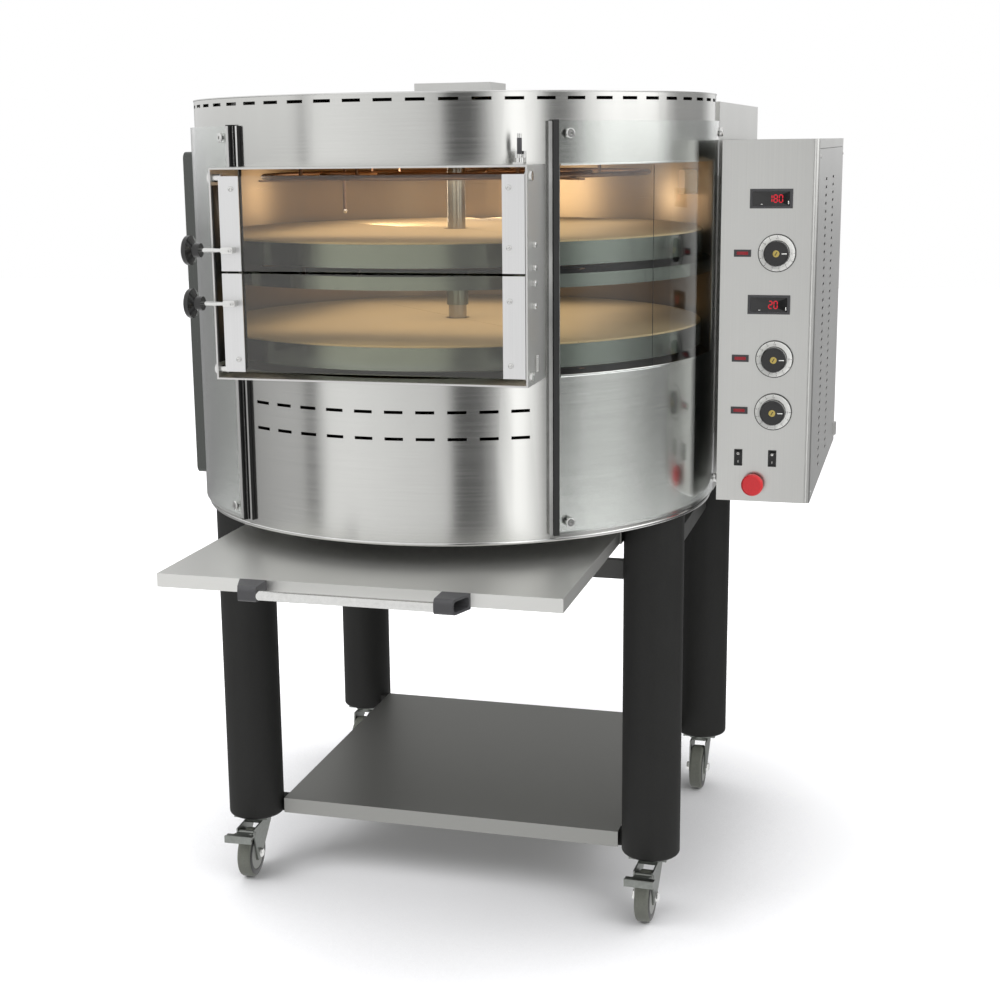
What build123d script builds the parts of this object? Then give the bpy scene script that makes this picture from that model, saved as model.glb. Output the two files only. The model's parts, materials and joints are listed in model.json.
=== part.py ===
from build123d import *
import os
from math import acos, asin, cos, degrees, pi, radians, sin, sqrt, tan

# Rotating pizza oven: a drum with two turning stone decks, on a stand with castors.
# Millimetres. While it is built, X runs to the right, Y to the back and Z up from the floor,
# with the drum's axis at x = 0, y = 0. Each piece is then shifted so that the finished
# part has its origin on the floor, under the middle of its box.
# Angles round the drum are counted from the front, growing towards +X.

# Clearances
seat_gap = 0.25            # between fixed pieces that fit round each other
running_gap = 0.05         # radial, between a shaft or pin and its bore
side_play = 0.5            # each side of a piece that slides or swings between two others
past = 1.0                 # how far a cutter runs past a face, or a fused piece into its neighbour

# Stand
castor_height = 125.0
leg_length = 687.0
leg_diameter = 114.3
leg_wall = 3.5
leg_top_plate = 6.0
leg_foot_plate = 8.0
leg_foot_round = 6.0
leg_pitch_x = 837.0
leg_pitch_y = 708.0
stand_set_back = 225.0     # from the drum's axis back to the middle of the four legs
rail_height = 36.0
rail_thickness = 20.0
rail_wall = 2.0
rail_drop = 98.0           # from the top of a leg down to the top of a rail

# Lower shelf
shelf_thickness = 31.5
shelf_sheet = 2.0
shelf_depth = 693.0
shelf_rise = 4.0           # underside above the leg's foot
shelf_side_gap = 7.5       # from a leg to the side of the shelf
shelf_front_lead = 7.0     # front edge ahead of the front legs' centre line
tab_width = 24.0
tab_inset = 22.0           # from a leg's centre line towards the middle of the stand
tab_lip = 14.0
tab_thickness = 4.0

# Castors
wheel_radius = 50.0
wheel_width = 28.0
wheel_edge_round = 5.0
wheel_hub_radius = 17.0
wheel_hub_width = 32.0
axle_radius = 5.0
axle_end = 3.0             # past the fork's cheeks
castor_trail = 44.0
front_left_turn = 3.0      # how far the front left castor is turned to the right, in degrees
front_right_turn = -1.5
fork_sheet = 3.0
fork_end_radius = 14.0
fork_toe = 6.0             # cheek ahead of the axle, where there is no pedal
fork_bridge_height = 16.0
fork_crown_z = 112.0
fork_crown_thickness = 4.0
king_pin_radius = 8.0
king_pin_end = 4.0         # past the leg's foot plate
king_nut_radius = 13.0
king_nut_height = 8.5
swivel_head_radius = 29.0
castor_plate_size = 74.0
castor_plate_thickness = 5.0
swivel_gap = 1.0
pedal_ahead = 68.0         # from the swivel axis forward to the pedal's pin
pedal_pin_z = 102.0
pedal_pin_radius = 3.0
pedal_hub_radius = 6.0
pedal_thickness = 4.0
pedal_pad_start = 100.0    # from the swivel axis forward to the pad
pedal_pad_depth = 20.0
pedal_pad_width = 57.0
pedal_pad_z = 108.0        # the pad's underside
pedal_lip = 8.0            # the pad's front edge, folded down
pedal_bead_radius = 3.0    # rolled edge on top of the fold

# Pull-out shelf
tray_depth = 760.0
tray_thickness = 24.0
tray_sheet = 2.0
tray_drop = 35.0           # its top below the drum's underside
tray_front = 648.0         # front edge ahead of the drum's axis, pulled out as it stands
runner_sheet = 1.6
runner_flange = 22.0
runner_overhang = 30.0     # past the legs' centre lines
handle_tube_radius = 8.5
handle_tube_ahead = 40.5
handle_tube_below = 15.5   # its centre below the shelf's top
handle_tube_length = 310.0
handle_end_front = 32.0    # an end's width at its front
handle_end_back = 49.0     # and where it meets the shelf
handle_end_depth = 50.0
handle_end_height = 27.0
handle_end_round = 9.0
handle_end_wall = 4.5
handle_end_web = 14.0
handle_hollow_round = 6.0

# Drum
drum_radius = 500.0
drum_height = 769.0
shell_sheet = 2.0
base_thickness = 4.0
shell_end = 100.0          # the shell ends this far round on both sides
casing_depth = 770.0       # from the drum's axis to the back of the casing
casing_lower = 13.3        # the casing's top below the drum's top
casing_corner = 20.0
slot_pitch = 6.31
slot_width = 33.0
slot_height = 5.5
top_slot_drop = 12.5       # from the drum's top to the middle of the top row
top_slot_phase = 0.37      # share of a pitch that the row is turned by
top_slots_each_side = 16
low_slot_rows = (188.0, 234.5)
low_slots = 10
roof_sheet = 2.0
roof_drop = 2.0
vent_width = 152.0
vent_depth = 118.0
vent_height = 31.0
vent_front = 20.0          # the vent's front ahead of the drum's axis
vent_sheet = 2.0
vent_bore_radius = 45.0
vent_collar = 24.0
steam_slot_width = 112.0
steam_slot_depth = 24.0
steam_slot_inset = 4.0     # from the vent's back
access_width = 560.0
access_height = 420.0
access_sheet = 1.5
access_lift = 120.0
access_lap = 15.0          # the panel past its hole
access_slot_rows = 10
access_slot_pitch = 24.0
access_slot_width = 80.0
access_slot_height = 6.0

# Doorway and window
sill_height = 290.0        # door frame's underside above the drum's underside
frame_height = 359.0
frame_width = 553.6
frame_proud = 44.0         # door frame's front ahead of the drum's foremost line
frame_sheet = 3.0
pane_lead = 2.39           # degrees round the drum from the door frame to a pane
pane_lap = 0.5             # degrees of pane over the shell in front of the window
pane_end = 97.0
pane_thickness = 6.0
pane_stand_off = 2.0
pane_bottom = 14.0         # above the drum's underside
pane_height = 705.0
gasket_angle = 1.15
gasket_gap_angle = 0.05
gasket_proud = 3.0
gasket_over = 2.0          # past the pane's top and bottom
cap_bolt_radius = 8.5
cap_bolt_head = 6.0
cap_bolt_round = 2.0
cap_bolt_socket = 3.0      # radius and depth
cap_bolt_inset_angle = 2.2
cap_bolt_inset = 20.0

# Cooking chamber
chamber_sheet = 1.5
chamber_floor_drop = 10.0      # floor's top below the sill
ceiling_lift = 9.0             # ceiling's underside above the doorway's top
insulation_gap = 3.0
floor_insulation = 38.0
ceiling_insulation = 60.0
rear_insulation = 40.0
blanket_start = 116.0          # angle where the rear blanket begins on each side
liner_lap = 2.0                # degrees of chamber wall behind the shell's ends
shaft_hole_gap = 3.0           # radial, in the sheets that the shaft passes
shield_band_height = 23.0
shield_band_z = 442.0          # above the drum's underside
shield_bore = 62.0

# Decks
shaft_radius = 17.75
deck_clearance = 16.25         # radial, between a deck's band and the chamber's wall
deck_band_height = 40.0
deck_sheet = 2.0
deck_plate = 3.0
deck_plate_lift = 16.0
deck_hub_radius = 45.0
deck_hub_height = 13.0
deck_sleeve_radius = 21.5
deck_sleeve_length = 109.0     # under the upper deck's hub
stone_gap = 1.0
stone_proud = 3.0
stone_round = 2.0
stone_bore = 24.0
stone_joint = 1.2              # between the two halves of a stone
stone_joint_angle = 42.0
lower_deck_z = 303.0           # lower deck's underside above the drum's underside
upper_deck_z = 478.0

# Drive
gear_module = 5.0
gear_teeth = 48
pinion_teeth = 16
gear_pressure_angle = 20.0
gear_tip = 0.9                 # in modules, outside the pitch circle
gear_root = 1.25               # in modules, inside it
gear_face = 22.0
gear_backlash = 0.8
gear_z = 128.0                 # driven gear's underside above the drum's underside
gear_hub_radius = 34.0
gear_hub_height = 18.0
gearbox_size = 118.0
gearbox_round = 10.0
gearbox_drop = 10.0            # its top below the gears
motor_radius = 56.0
motor_length = 190.0
motor_shaft_radius = 10.0
motor_shaft_depth = 30.0       # in the gearbox
motor_shaft_end = 4.0          # above the pinion
bearing_flange_radius = 62.0
bearing_flange = 6.0
bearing_radius = 38.0
bearing_height = 22.0
bearing_floor = 4.0            # under the shaft
bearing_roof = 2.0             # over the shaft

# Heating elements
rod_radius = 4.25
element_radii = (150.0, 262.0, 374.0)
element_tails = (24.0, 48.0, 72.0)
element_elbow = 5.1            # radius where a ring turns into its tail
tail_past = 25.0               # an element's tails end this far outside the drum's radius
tail_cut = 20.0                # each side of the chamber's wall
tail_hole_gap = 2.0
ceiling_rod_drop = 32.0        # rods' centre line below the ceiling
middle_rod_lift = 4.75         # rods' centre line above the heat shield's band
floor_rod_lift = 11.5
support_angles = (-130.0, -50.0, 50.0, 130.0)
support_start = 126.0
support_end = 398.0
support_width = 12.0
support_sheet = 3.0
support_post_radius = 3.5
support_post_spots = (206.0, 318.0)
probe_radius = 3.0
probe_hole_gap = 1.0
probe_spots = ((-272.0, 110.0), (-240.0, 150.0))
probe_head = 12.0              # above the ceiling
upper_probe_length = 108.0
lower_probe_length = 40.0
lamp_angle = 119.0
lamp_width = 36.0
lamp_height = 48.0
lamp_depth = 28.0
lamp_round = 8.0
lamp_drop = 56.0               # lamp's centre below the ceiling

# Doors
pivot_inset = 17.0             # from the frame's outer top or bottom edge to the pivot
pivot_depth = 13.0             # behind the doors' front
pivot_bolt_radius = 5.0
pivot_head_radius = 8.0
pivot_head_length = 6.0
pivot_collar_radius = 7.0
pivot_play = 0.4               # between a door's rounded end and the frame
door_edge = 3.0                # door's edge past its pivot
door_gap = 4.0                 # between the two doors
upper_door_share = 156.0       # from the upper pivot down to the upper door's lower edge
door_left_gap = 14.0
band_width_left = 36.5
band_width_right = 38.0
band_sheet = 2.0
band_flange = 21.0
band_corner = 20.0             # how far a band is cut away past its pivot
band_pivot_radius = 8.0
door_glass = 6.0
glass_seat = 0.3
handle_ahead = 12.0            # handle rod's centre ahead of the door's front
handle_rise = 36.0             # upper handle above its door's lower edge
handle_drop = 50.0             # lower handle below its door's upper edge
handle_rod_radius = 3.6
handle_rod_past = 14.2         # the rod's left end past the door frame
clevis_width = 22.0
clevis_height = 11.0
clevis_nose = 5.0              # ahead of the rod's centre
clevis_round = 3.0
clevis_inset = 8.0             # from the band's inner edge
knob_hub_radius = 12.0
knob_hub_length = 18.0
knob_taper = 6.0               # the part of the hub that widens to the disc
knob_disc_radius = 25.0
knob_disc_length = 9.0
knob_round = 3.5
stop_bolt_drops = (128.0, 165.5, 190.5, 228.0)
stop_bolt_depth = 35.0         # behind the doors' front
stop_bolt_radius = 5.0
stop_bolt_head = 4.5
door_stop_inset = 27.8         # from the frame's right edge
door_stop_back = 18.0          # behind the drum's foremost line
door_stop_width = 18.0
door_stop_depth = 20.0
door_stop_sheet = 3.0
door_stop_foot = 4.0
door_stop_height = 22.0
door_stop_stud = 50.0
door_stop_stud_radius = 3.5
door_stop_nut_radius = 7.0
door_stop_nut_height = 7.0

# Control cabinet
cabinet_gap = 28.0             # between the drum and the cabinet
cabinet_width = 173.0
cabinet_front = 80.0           # ahead of the drum's axis
cabinet_depth = 700.0
cabinet_bottom = 829.0
cabinet_height = 667.0
cabinet_sheet = 1.5
panel_sheet = 2.0
panel_return = 20.0
panel_corner = 10.0
duct_front = 250.0
duct_back = 560.0
duct_margin = 70.0
side_slot_columns = (127.0, 322.0)
side_slot_rows = 37
side_slot_pitch = 15.4
side_slot_width = 36.0
side_slot_height = 5.0
side_slot_top = 75.0
side_cover_drop = 18.0         # the side cover's top below the cabinet's
side_cover_seam = 0.8
latch_reach = 6.0
latch_width = 18.0
latch_height = 28.0
latch_inset = (25.0, 30.0)     # from the cabinet's back and bottom to the latch's middle

# What the control panel carries: across from the cabinet's left edge, down from its top
display_spots = ((90.0, 105.0), (90.0, 297.0))
display_size = (77.0, 35.0)
display_body = (70.0, 29.0, 58.0)
indicator_spots = ((40.0, 203.5), (40.0, 397.0), (40.0, 494.5))
indicator_size = (31.0, 13.0)
indicator_body = (26.0, 9.0, 18.0)
bezel_proud = 2.0
dial_spots = ((102.5, 203.0), (102.5, 397.0), (102.5, 495.5))
dial_ring_radius = 34.5
dial_ring_thickness = 3.0
dial_neck_radius = 4.8
dial_knob_radius = 23.0
dial_knob_height = 17.0
dial_knob_round = 3.0
dial_body_radius = 19.0
dial_body_length = 32.0
dial_body_floor = 4.0
spindle_radius = 3.0
rocker_spots = ((40.0, 584.0), (103.0, 584.0))
rocker_frame = (15.0, 31.0)
rocker_frame_border = 2.0
rocker_frame_proud = 2.0
rocker_body_inset = 1.25       # each side, from the frame to the body behind the panel
rocker_body_length = 20.0
rocker_body_floor = 4.0
rocker_pivot_depth = 1.0       # behind the panel's face
rocker_side_gap = 0.3
rocker_end_gap = 1.0
rocker_rise = 3.5              # a rocker's ends ahead of its pivot
rocker_dip = 2.0               # its middle ahead of its pivot
rocker_back = 7.0              # its back behind its pivot
rocker_back_bevel = (3.0, 3.0)
rocker_tilt = 7.0
stop_spot = (68.5, 633.5)
stop_radius = 20.4
stop_thickness = 12.0
stop_round = 5.0
stop_travel = 5.0
stop_stem_radius = 7.0
stop_collar_radius = 14.5
stop_collar_thickness = 3.0
stop_neck_radius = 11.25
stop_body_radius = 15.5
stop_body_length = 40.0
stop_body_floor = 5.0
stop_stem_gap = 2.0            # behind the stem when the button is pressed
gland_radius = 14.0
gland_bore_radius = 9.0
gland_hole_gap = 1.0
gland_length = 20.0
gland_inset = 80.0             # from the cabinet's back

# Left cover
cover_stand_off = 43.0         # its outer face outside the drum's radius
cover_front = 80.0
cover_depth = 640.0
cover_bottom = 836.0
cover_height = 650.0
cover_sheet = 1.5
cover_corner = 14.0
cover_glass_gap = 0.5

# Heights and places worked out from the sizes above
leg_radius = leg_diameter / 2
leg_top = castor_height + leg_length
leg_x = leg_pitch_x / 2
leg_front_y = stand_set_back - leg_pitch_y / 2
leg_rear_y = stand_set_back + leg_pitch_y / 2
leg_inner_x = leg_x - leg_radius
leg_spots = {
    "front_left": (-leg_x, leg_front_y),
    "front_right": (leg_x, leg_front_y),
    "rear_left": (-leg_x, leg_rear_y),
    "rear_right": (leg_x, leg_rear_y),
}
drum_bottom = leg_top
drum_top = drum_bottom + drum_height
base_top = drum_bottom + base_thickness
inner_radius = drum_radius - shell_sheet
liner_radius = inner_radius - seat_gap
deck_radius = liner_radius - chamber_sheet - deck_clearance
tail_end = drum_radius + tail_past
casing_top = drum_top - casing_lower
frame_reach = drum_radius + frame_proud
frame_bottom = drum_bottom + sill_height
frame_top = frame_bottom + frame_height
opening_bottom = frame_bottom + frame_sheet
opening_top = frame_top - frame_sheet
chamber_floor_top = frame_bottom - chamber_floor_drop
ceiling_z = frame_top + ceiling_lift
roof_top = drum_top - roof_drop
roof_bottom = roof_top - roof_sheet
frame_angle = degrees(asin(frame_width / 2 / drum_radius))
pane_start = frame_angle + pane_lead
window_start = pane_start + pane_lap
pane_inner_radius = drum_radius + pane_stand_off
pane_outer_radius = pane_inner_radius + pane_thickness
pane_z = drum_bottom + pane_bottom
tray_top = drum_bottom - tray_drop
tray_bottom = tray_top - tray_thickness
runner_web_x = leg_inner_x - seat_gap
tray_half_width = runner_web_x - runner_sheet - side_play
lower_deck_bottom = drum_bottom + lower_deck_z
upper_deck_bottom = drum_bottom + upper_deck_z
shield_z = drum_bottom + shield_band_z
gear_bottom = drum_bottom + gear_z
pinion_distance = gear_module * (gear_teeth + pinion_teeth) / 2
cover_reach = drum_radius + cover_stand_off
cabinet_left = drum_radius + cabinet_gap
cabinet_right = cabinet_left + cabinet_width
cabinet_top = cabinet_bottom + cabinet_height
cabinet_back = cabinet_depth - cabinet_front

# The finished part's box, from the drum's axis, and the shift that centres it
front_reach = tray_front + handle_end_depth
rear_reach = casing_depth + access_sheet
right_reach = cabinet_right + latch_reach
shift = Pos((cover_reach - right_reach) / 2, (front_reach - rear_reach) / 2, 0)


def block(x_low, x_high, y_low, y_high, z_low, z_high):
    """A block between two corners."""
    middle = ((x_low + x_high) / 2, (y_low + y_high) / 2, (z_low + z_high) / 2)
    return Pos(*middle) * Box(x_high - x_low, y_high - y_low, z_high - z_low)


def disc(radius, z_low, z_high, x=0.0, y=0.0):
    """An upright cylinder between two heights."""
    return Pos(x, y, (z_low + z_high) / 2) * Cylinder(radius, z_high - z_low)


def ring(outer, inner, z_low, z_high, x=0.0, y=0.0):
    """An upright ring between two heights."""
    return disc(outer, z_low, z_high, x, y) - disc(inner, z_low - past, z_high + past, x, y)


def rod_x(radius, x_low, x_high, y, z):
    """A cylinder along X."""
    return Pos((x_low + x_high) / 2, y, z) * Rot(0, 90, 0) * Cylinder(radius, x_high - x_low)


def rod_y(radius, x, y_low, y_high, z):
    """A cylinder along Y."""
    return Pos(x, (y_low + y_high) / 2, z) * Rot(90, 0, 0) * Cylinder(radius, y_high - y_low)


def around(radius, angle):
    """The point at a radius and an angle from the front."""
    return (radius * sin(radians(angle)), -radius * cos(radians(angle)))


def sector(outer, inner, start, end, z_low, z_high):
    """A slice of a ring between two angles from the front."""
    middle = (start + end) / 2
    outline = [
        ThreePointArc(around(outer, start), around(outer, middle), around(outer, end)),
        Line(around(outer, end), around(inner, end)),
        ThreePointArc(around(inner, end), around(inner, middle), around(inner, start)),
        Line(around(inner, start), around(outer, start)),
    ]
    return Pos(0, 0, z_low) * extrude(make_face(outline), amount=z_high - z_low, dir=(0, 0, 1))


def turned(angle, shape):
    """A shape that was made at the front, moved round the drum by an angle."""
    return Rot(0, 0, angle) * shape


def mirrored(shape):
    """The same shape on the other side of the drum."""
    return mirror(shape, about=Plane.YZ)


def folded_tray(half_width, y_low, y_high, z_top, thickness, sheet):
    """A sheet folded down along its four edges, open underneath."""
    outside = block(-half_width, half_width, y_low, y_high, z_top - thickness, z_top)
    inside = block(
        -half_width + sheet,
        half_width - sheet,
        y_low + sheet,
        y_high - sheet,
        z_top - thickness - past,
        z_top - sheet,
    )
    return outside - inside


def save(name, *solids):
    """Writes one named piece, or a group of separate solids that share a name."""
    placed = [shift * solid for solid in solids]
    shape = placed[0] if len(placed) == 1 else Compound(children=placed)
    export_step(shape, f"parts/{name}.step")


os.makedirs("parts", exist_ok=True)


# Stand

def leg(x, y):
    """A leg tube closed at both ends, with the tab that carries a corner of the lower shelf."""
    foot_top = castor_height + leg_foot_plate
    outside = disc(leg_radius, castor_height, leg_top, x, y)
    outside = fillet(outside.edges().group_by(Axis.Z)[0], leg_foot_round)
    hollow = disc(leg_radius - leg_wall, foot_top, leg_top - leg_top_plate, x, y)
    side = 1 if x < 0 else -1
    shelf_edge = x + side * (leg_radius + shelf_side_gap)
    web_end = shelf_edge - side * seat_gap
    lip_end = shelf_edge + side * tab_lip
    lip_top = castor_height + shelf_rise
    tab_y = y + tab_inset * (1 if y < stand_set_back else -1)
    y_low = tab_y - tab_width / 2
    y_high = tab_y + tab_width / 2
    web = block(min(x, web_end), max(x, web_end), y_low, y_high,
                lip_top - tab_thickness, lip_top + shelf_thickness - tab_thickness)
    lip = block(min(x, lip_end), max(x, lip_end), y_low, y_high, lip_top - tab_thickness, lip_top)
    pin_bore = disc(king_pin_radius + running_gap, castor_height - past, foot_top + past, x, y)
    return outside + web + lip - hollow - pin_bore


def stand_rails():
    """Four box rails between the legs, hollow and open at their ends."""
    z_high = leg_top - rail_drop
    z_low = z_high - rail_height
    half = rail_thickness / 2
    legs = []
    for x, y in leg_spots.values():
        legs.append(disc(leg_radius + seat_gap, z_low - past, z_high + past, x, y))
    rails = []
    for y in (leg_front_y, leg_rear_y):
        rail = block(-leg_x, leg_x, y - half, y + half, z_low, z_high)
        rail -= block(
            -leg_x - past, leg_x + past,
            y - half + rail_wall, y + half - rail_wall,
            z_low + rail_wall, z_high - rail_wall,
        )
        rails.append(rail - legs)
    for x in (-leg_x, leg_x):
        rail = block(x - half, x + half, leg_front_y, leg_rear_y, z_low, z_high)
        rail -= block(
            x - half + rail_wall, x + half - rail_wall,
            leg_front_y - past, leg_rear_y + past,
            z_low + rail_wall, z_high - rail_wall,
        )
        rails.append(rail - legs)
    return rails


def shelf_runner():
    """The right channel that the pull-out shelf slides in."""
    y_low = leg_front_y - runner_overhang
    y_high = leg_rear_y + runner_overhang
    z_low = tray_bottom - seat_gap - runner_sheet
    z_high = tray_top + seat_gap + runner_sheet
    outside = block(runner_web_x - runner_flange, runner_web_x, y_low, y_high, z_low, z_high)
    inside = block(
        runner_web_x - runner_flange - past,
        runner_web_x - runner_sheet,
        y_low - past,
        y_high + past,
        z_low + runner_sheet,
        z_high - runner_sheet,
    )
    return outside - inside


def castor_plate(x, y):
    """The square plate between a leg's foot and its castor."""
    half = castor_plate_size / 2
    plate = block(
        x - half, x + half, y - half, y + half,
        castor_height - castor_plate_thickness, castor_height,
    )
    return plate - disc(king_pin_radius + running_gap, 0, castor_height + past, x, y)


def castor_fork(with_brake):
    """A fork that trails forward of its king pin, with the pin's nut and the wheel's axle."""
    head_top = castor_height - castor_plate_thickness - swivel_gap
    inner = wheel_hub_width / 2 + side_play
    outer = inner + fork_sheet
    end = make_face([Edge.make_circle(fork_end_radius)]).moved(Location((-castor_trail, wheel_radius)))
    reach = pedal_ahead + pedal_hub_radius if with_brake else castor_trail + fork_toe
    middle = ((swivel_head_radius - reach) / 2, fork_crown_z - fork_bridge_height / 2)
    bridge = Pos(*middle) * Rectangle(swivel_head_radius + reach, fork_bridge_height)
    cheek = Plane.XZ * make_hull(end.edges() + bridge.edges())
    left = Pos(0, outer, 0) * extrude(cheek, amount=fork_sheet, dir=(0, -1, 0))
    right = Pos(0, -outer, 0) * extrude(cheek, amount=fork_sheet, dir=(0, 1, 0))
    crown = block(-swivel_head_radius, swivel_head_radius, -outer, outer,
                  fork_crown_z - fork_crown_thickness, fork_crown_z)
    head = disc(swivel_head_radius, fork_crown_z - past, head_top)
    foot_top = castor_height + leg_foot_plate
    pin = disc(king_pin_radius, head_top - past, foot_top + king_pin_end)
    nut = disc(king_nut_radius, foot_top + side_play, foot_top + side_play + king_nut_height)
    axle = rod_y(axle_radius, -castor_trail, -outer - axle_end, outer + axle_end, wheel_radius)
    fork = left + right + crown + head + pin + nut + axle
    if with_brake:
        fork += rod_y(pedal_pin_radius, -pedal_ahead, -outer - past, outer + past, pedal_pin_z)
    return turned(90, fork)


def castor_wheel():
    """A solid tyre with a wider hub that turns on the axle."""
    tyre = Cylinder(wheel_radius, wheel_width)
    tyre = fillet(tyre.edges(), wheel_edge_round)
    hub = Cylinder(wheel_hub_radius, wheel_hub_width)
    wheel = tyre + hub - Cylinder(axle_radius + running_gap, wheel_hub_width + 2 * past)
    return turned(90, Pos(-castor_trail, 0, wheel_radius) * Rot(90, 0, 0) * wheel)


def brake_pedal():
    """A pedal that hinges between the fork's cheeks and slopes up to a pad with a folded edge."""
    half = wheel_hub_width / 2
    pad_half = pedal_pad_width / 2
    pad_end = pedal_pad_start + pedal_pad_depth
    pad_top = pedal_pad_z + pedal_thickness
    hub = rod_y(pedal_hub_radius, -pedal_ahead, -half, half, pedal_pin_z)
    arm_side = Polyline(
        (-pedal_ahead, pedal_pin_z - pedal_thickness / 2),
        (-pedal_ahead, pedal_pin_z + pedal_thickness / 2),
        (-pedal_pad_start - past, pad_top),
        (-pedal_pad_start - past, pedal_pad_z),
        close=True,
    )
    arm = Pos(0, -half, 0) * extrude(Plane.XZ * make_face(arm_side), amount=2 * half, dir=(0, 1, 0))
    pad = block(-pad_end, -pedal_pad_start, -pad_half, pad_half, pedal_pad_z, pad_top)
    lip = block(-pad_end, -pad_end + pedal_thickness, -pad_half, pad_half,
                pedal_pad_z - pedal_lip, pad_top)
    bead = rod_y(pedal_bead_radius, -pad_end + pedal_bead_radius, -pad_half, pad_half, pad_top)
    bore = rod_y(pedal_pin_radius + running_gap, -pedal_ahead, -half - past, half + past, pedal_pin_z)
    return turned(90, hub + arm + pad + lip + bead - bore)


castor_turns = {name: 0.0 for name in leg_spots}
castor_turns["front_left"] = front_left_turn
castor_turns["front_right"] = front_right_turn
for name, (x, y) in leg_spots.items():
    has_brake = name.startswith("front")
    place = Pos(x, y, 0) * Rot(0, 0, castor_turns[name])
    save(f"castor_fork_{name}", place * castor_fork(has_brake))
    save(f"castor_wheel_{name}", place * castor_wheel())
    if has_brake:
        save(f"brake_pedal_{name}", place * brake_pedal())
save("legs", *[leg(x, y) for x, y in leg_spots.values()])
save("castor_plates", *[castor_plate(x, y) for x, y in leg_spots.values()])
save("stand_rails", *stand_rails())
save("shelf_runners", shelf_runner(), mirrored(shelf_runner()))
shelf_front_y = leg_front_y - shelf_front_lead
lower_shelf = folded_tray(
    leg_inner_x - shelf_side_gap,
    shelf_front_y,
    shelf_front_y + shelf_depth,
    castor_height + shelf_rise + shelf_thickness,
    shelf_thickness,
    shelf_sheet,
)
save("lower_shelf", lower_shelf)


# Pull-out shelf

def handle_end():
    """The right end bracket: a hollow block, wider at the shelf and open on its outer side."""
    x_low = handle_tube_length / 2
    y_front = -tray_front - handle_end_depth
    z_low = tray_top - handle_end_height
    plan = Polyline(
        (x_low, y_front),
        (x_low + handle_end_front, y_front),
        (x_low + handle_end_back, -tray_front),
        (x_low, -tray_front),
        close=True,
    )
    outside = Pos(0, 0, z_low) * extrude(make_face(plan), amount=handle_end_height, dir=(0, 0, 1))
    front_edges = outside.edges().filter_by(Axis.X).group_by(Axis.Y)[0]
    outside = fillet(front_edges, handle_end_round)
    inside = block(
        x_low + handle_end_web,
        x_low + handle_end_back + past,
        y_front + handle_end_wall,
        -tray_front - handle_end_wall,
        z_low + handle_end_wall,
        tray_top - handle_end_wall,
    )
    inside = fillet(inside.edges().filter_by(Axis.X), handle_hollow_round)
    return outside - inside


tray = folded_tray(tray_half_width, -tray_front, tray_depth - tray_front,
                   tray_top, tray_thickness, tray_sheet)
save("pull_out_shelf", tray)
save("handle_ends", handle_end(), mirrored(handle_end()))
save("handle_tube", rod_x(
    handle_tube_radius,
    -handle_tube_length / 2,
    handle_tube_length / 2,
    -tray_front - handle_tube_ahead,
    tray_top - handle_tube_below,
))


# Drum

def slot(angle, z):
    """A cutter for one vent slot in the shell."""
    cutter = block(-slot_width / 2, slot_width / 2, -drum_radius - past, -inner_radius + shell_sheet,
                   z - slot_height / 2, z + slot_height / 2)
    return turned(angle, cutter)


def outer_shell():
    """The drum's skin: a full ring at the top, and below it the front and sides."""
    shell = ring(drum_radius, inner_radius, drum_bottom, drum_top)
    behind = sector(drum_radius + past, inner_radius - past, shell_end, 360 - shell_end,
                    drum_bottom - past, casing_top + seat_gap)
    doorway = block(
        -frame_width / 2 + frame_sheet, frame_width / 2 - frame_sheet,
        -drum_radius - past, 0,
        opening_bottom, opening_top,
    )
    window = sector(drum_radius + past, inner_radius - past, window_start, pane_end,
                    frame_bottom, frame_top)
    slots = []
    for row in low_slot_rows:
        for number in range(low_slots):
            slots.append(slot(slot_pitch * (number - (low_slots - 1) / 2), drum_bottom + row))
    for number in range(-top_slots_each_side, top_slots_each_side - 1):
        angle = slot_pitch * (number + top_slot_phase)
        slots.append(slot(angle, drum_top - top_slot_drop))
    return shell - behind - doorway - window - slots


casing_front = drum_radius * -cos(radians(shell_end)) + seat_gap


def base_plate():
    """The plate on the legs' heads that everything in the drum stands on."""
    y_back = casing_depth - shell_sheet - seat_gap
    rear = block(-liner_radius, liner_radius, casing_front, y_back, drum_bottom, base_top)
    rear = fillet(rear.edges().filter_by(Axis.Z).group_by(Axis.Y)[-1], casing_corner - shell_sheet)
    return disc(liner_radius, drum_bottom, base_top) + rear


def rear_casing():
    """The box behind the drum: two sides, back and top in one welded sheet."""
    low, high = drum_bottom, casing_top
    outside = block(-drum_radius, drum_radius, casing_front, casing_depth, low, high)
    rear_edges = outside.edges().filter_by(Axis.Z).group_by(Axis.Y)[-1]
    outside = fillet(rear_edges, casing_corner)
    inside = block(-inner_radius, inner_radius, casing_front - past, casing_depth - shell_sheet,
                   low - past, high - shell_sheet)
    inside_edges = inside.edges().filter_by(Axis.Z).group_by(Axis.Y)[-1]
    inside = fillet(inside_edges, casing_corner - shell_sheet)
    hole_half = access_width / 2 - access_lap
    hole_low = drum_bottom + access_lift + access_lap
    service_hole = block(-hole_half, hole_half, casing_depth - casing_corner, casing_depth + past,
                         hole_low, hole_low + access_height - 2 * access_lap)
    fold_x = inner_radius * sin(radians(shell_end))
    fold = block(fold_x, drum_radius, casing_front, casing_front + shell_sheet,
                 base_top + seat_gap, high)
    return outside - inside - service_hole + fold + mirrored(fold)


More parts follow.
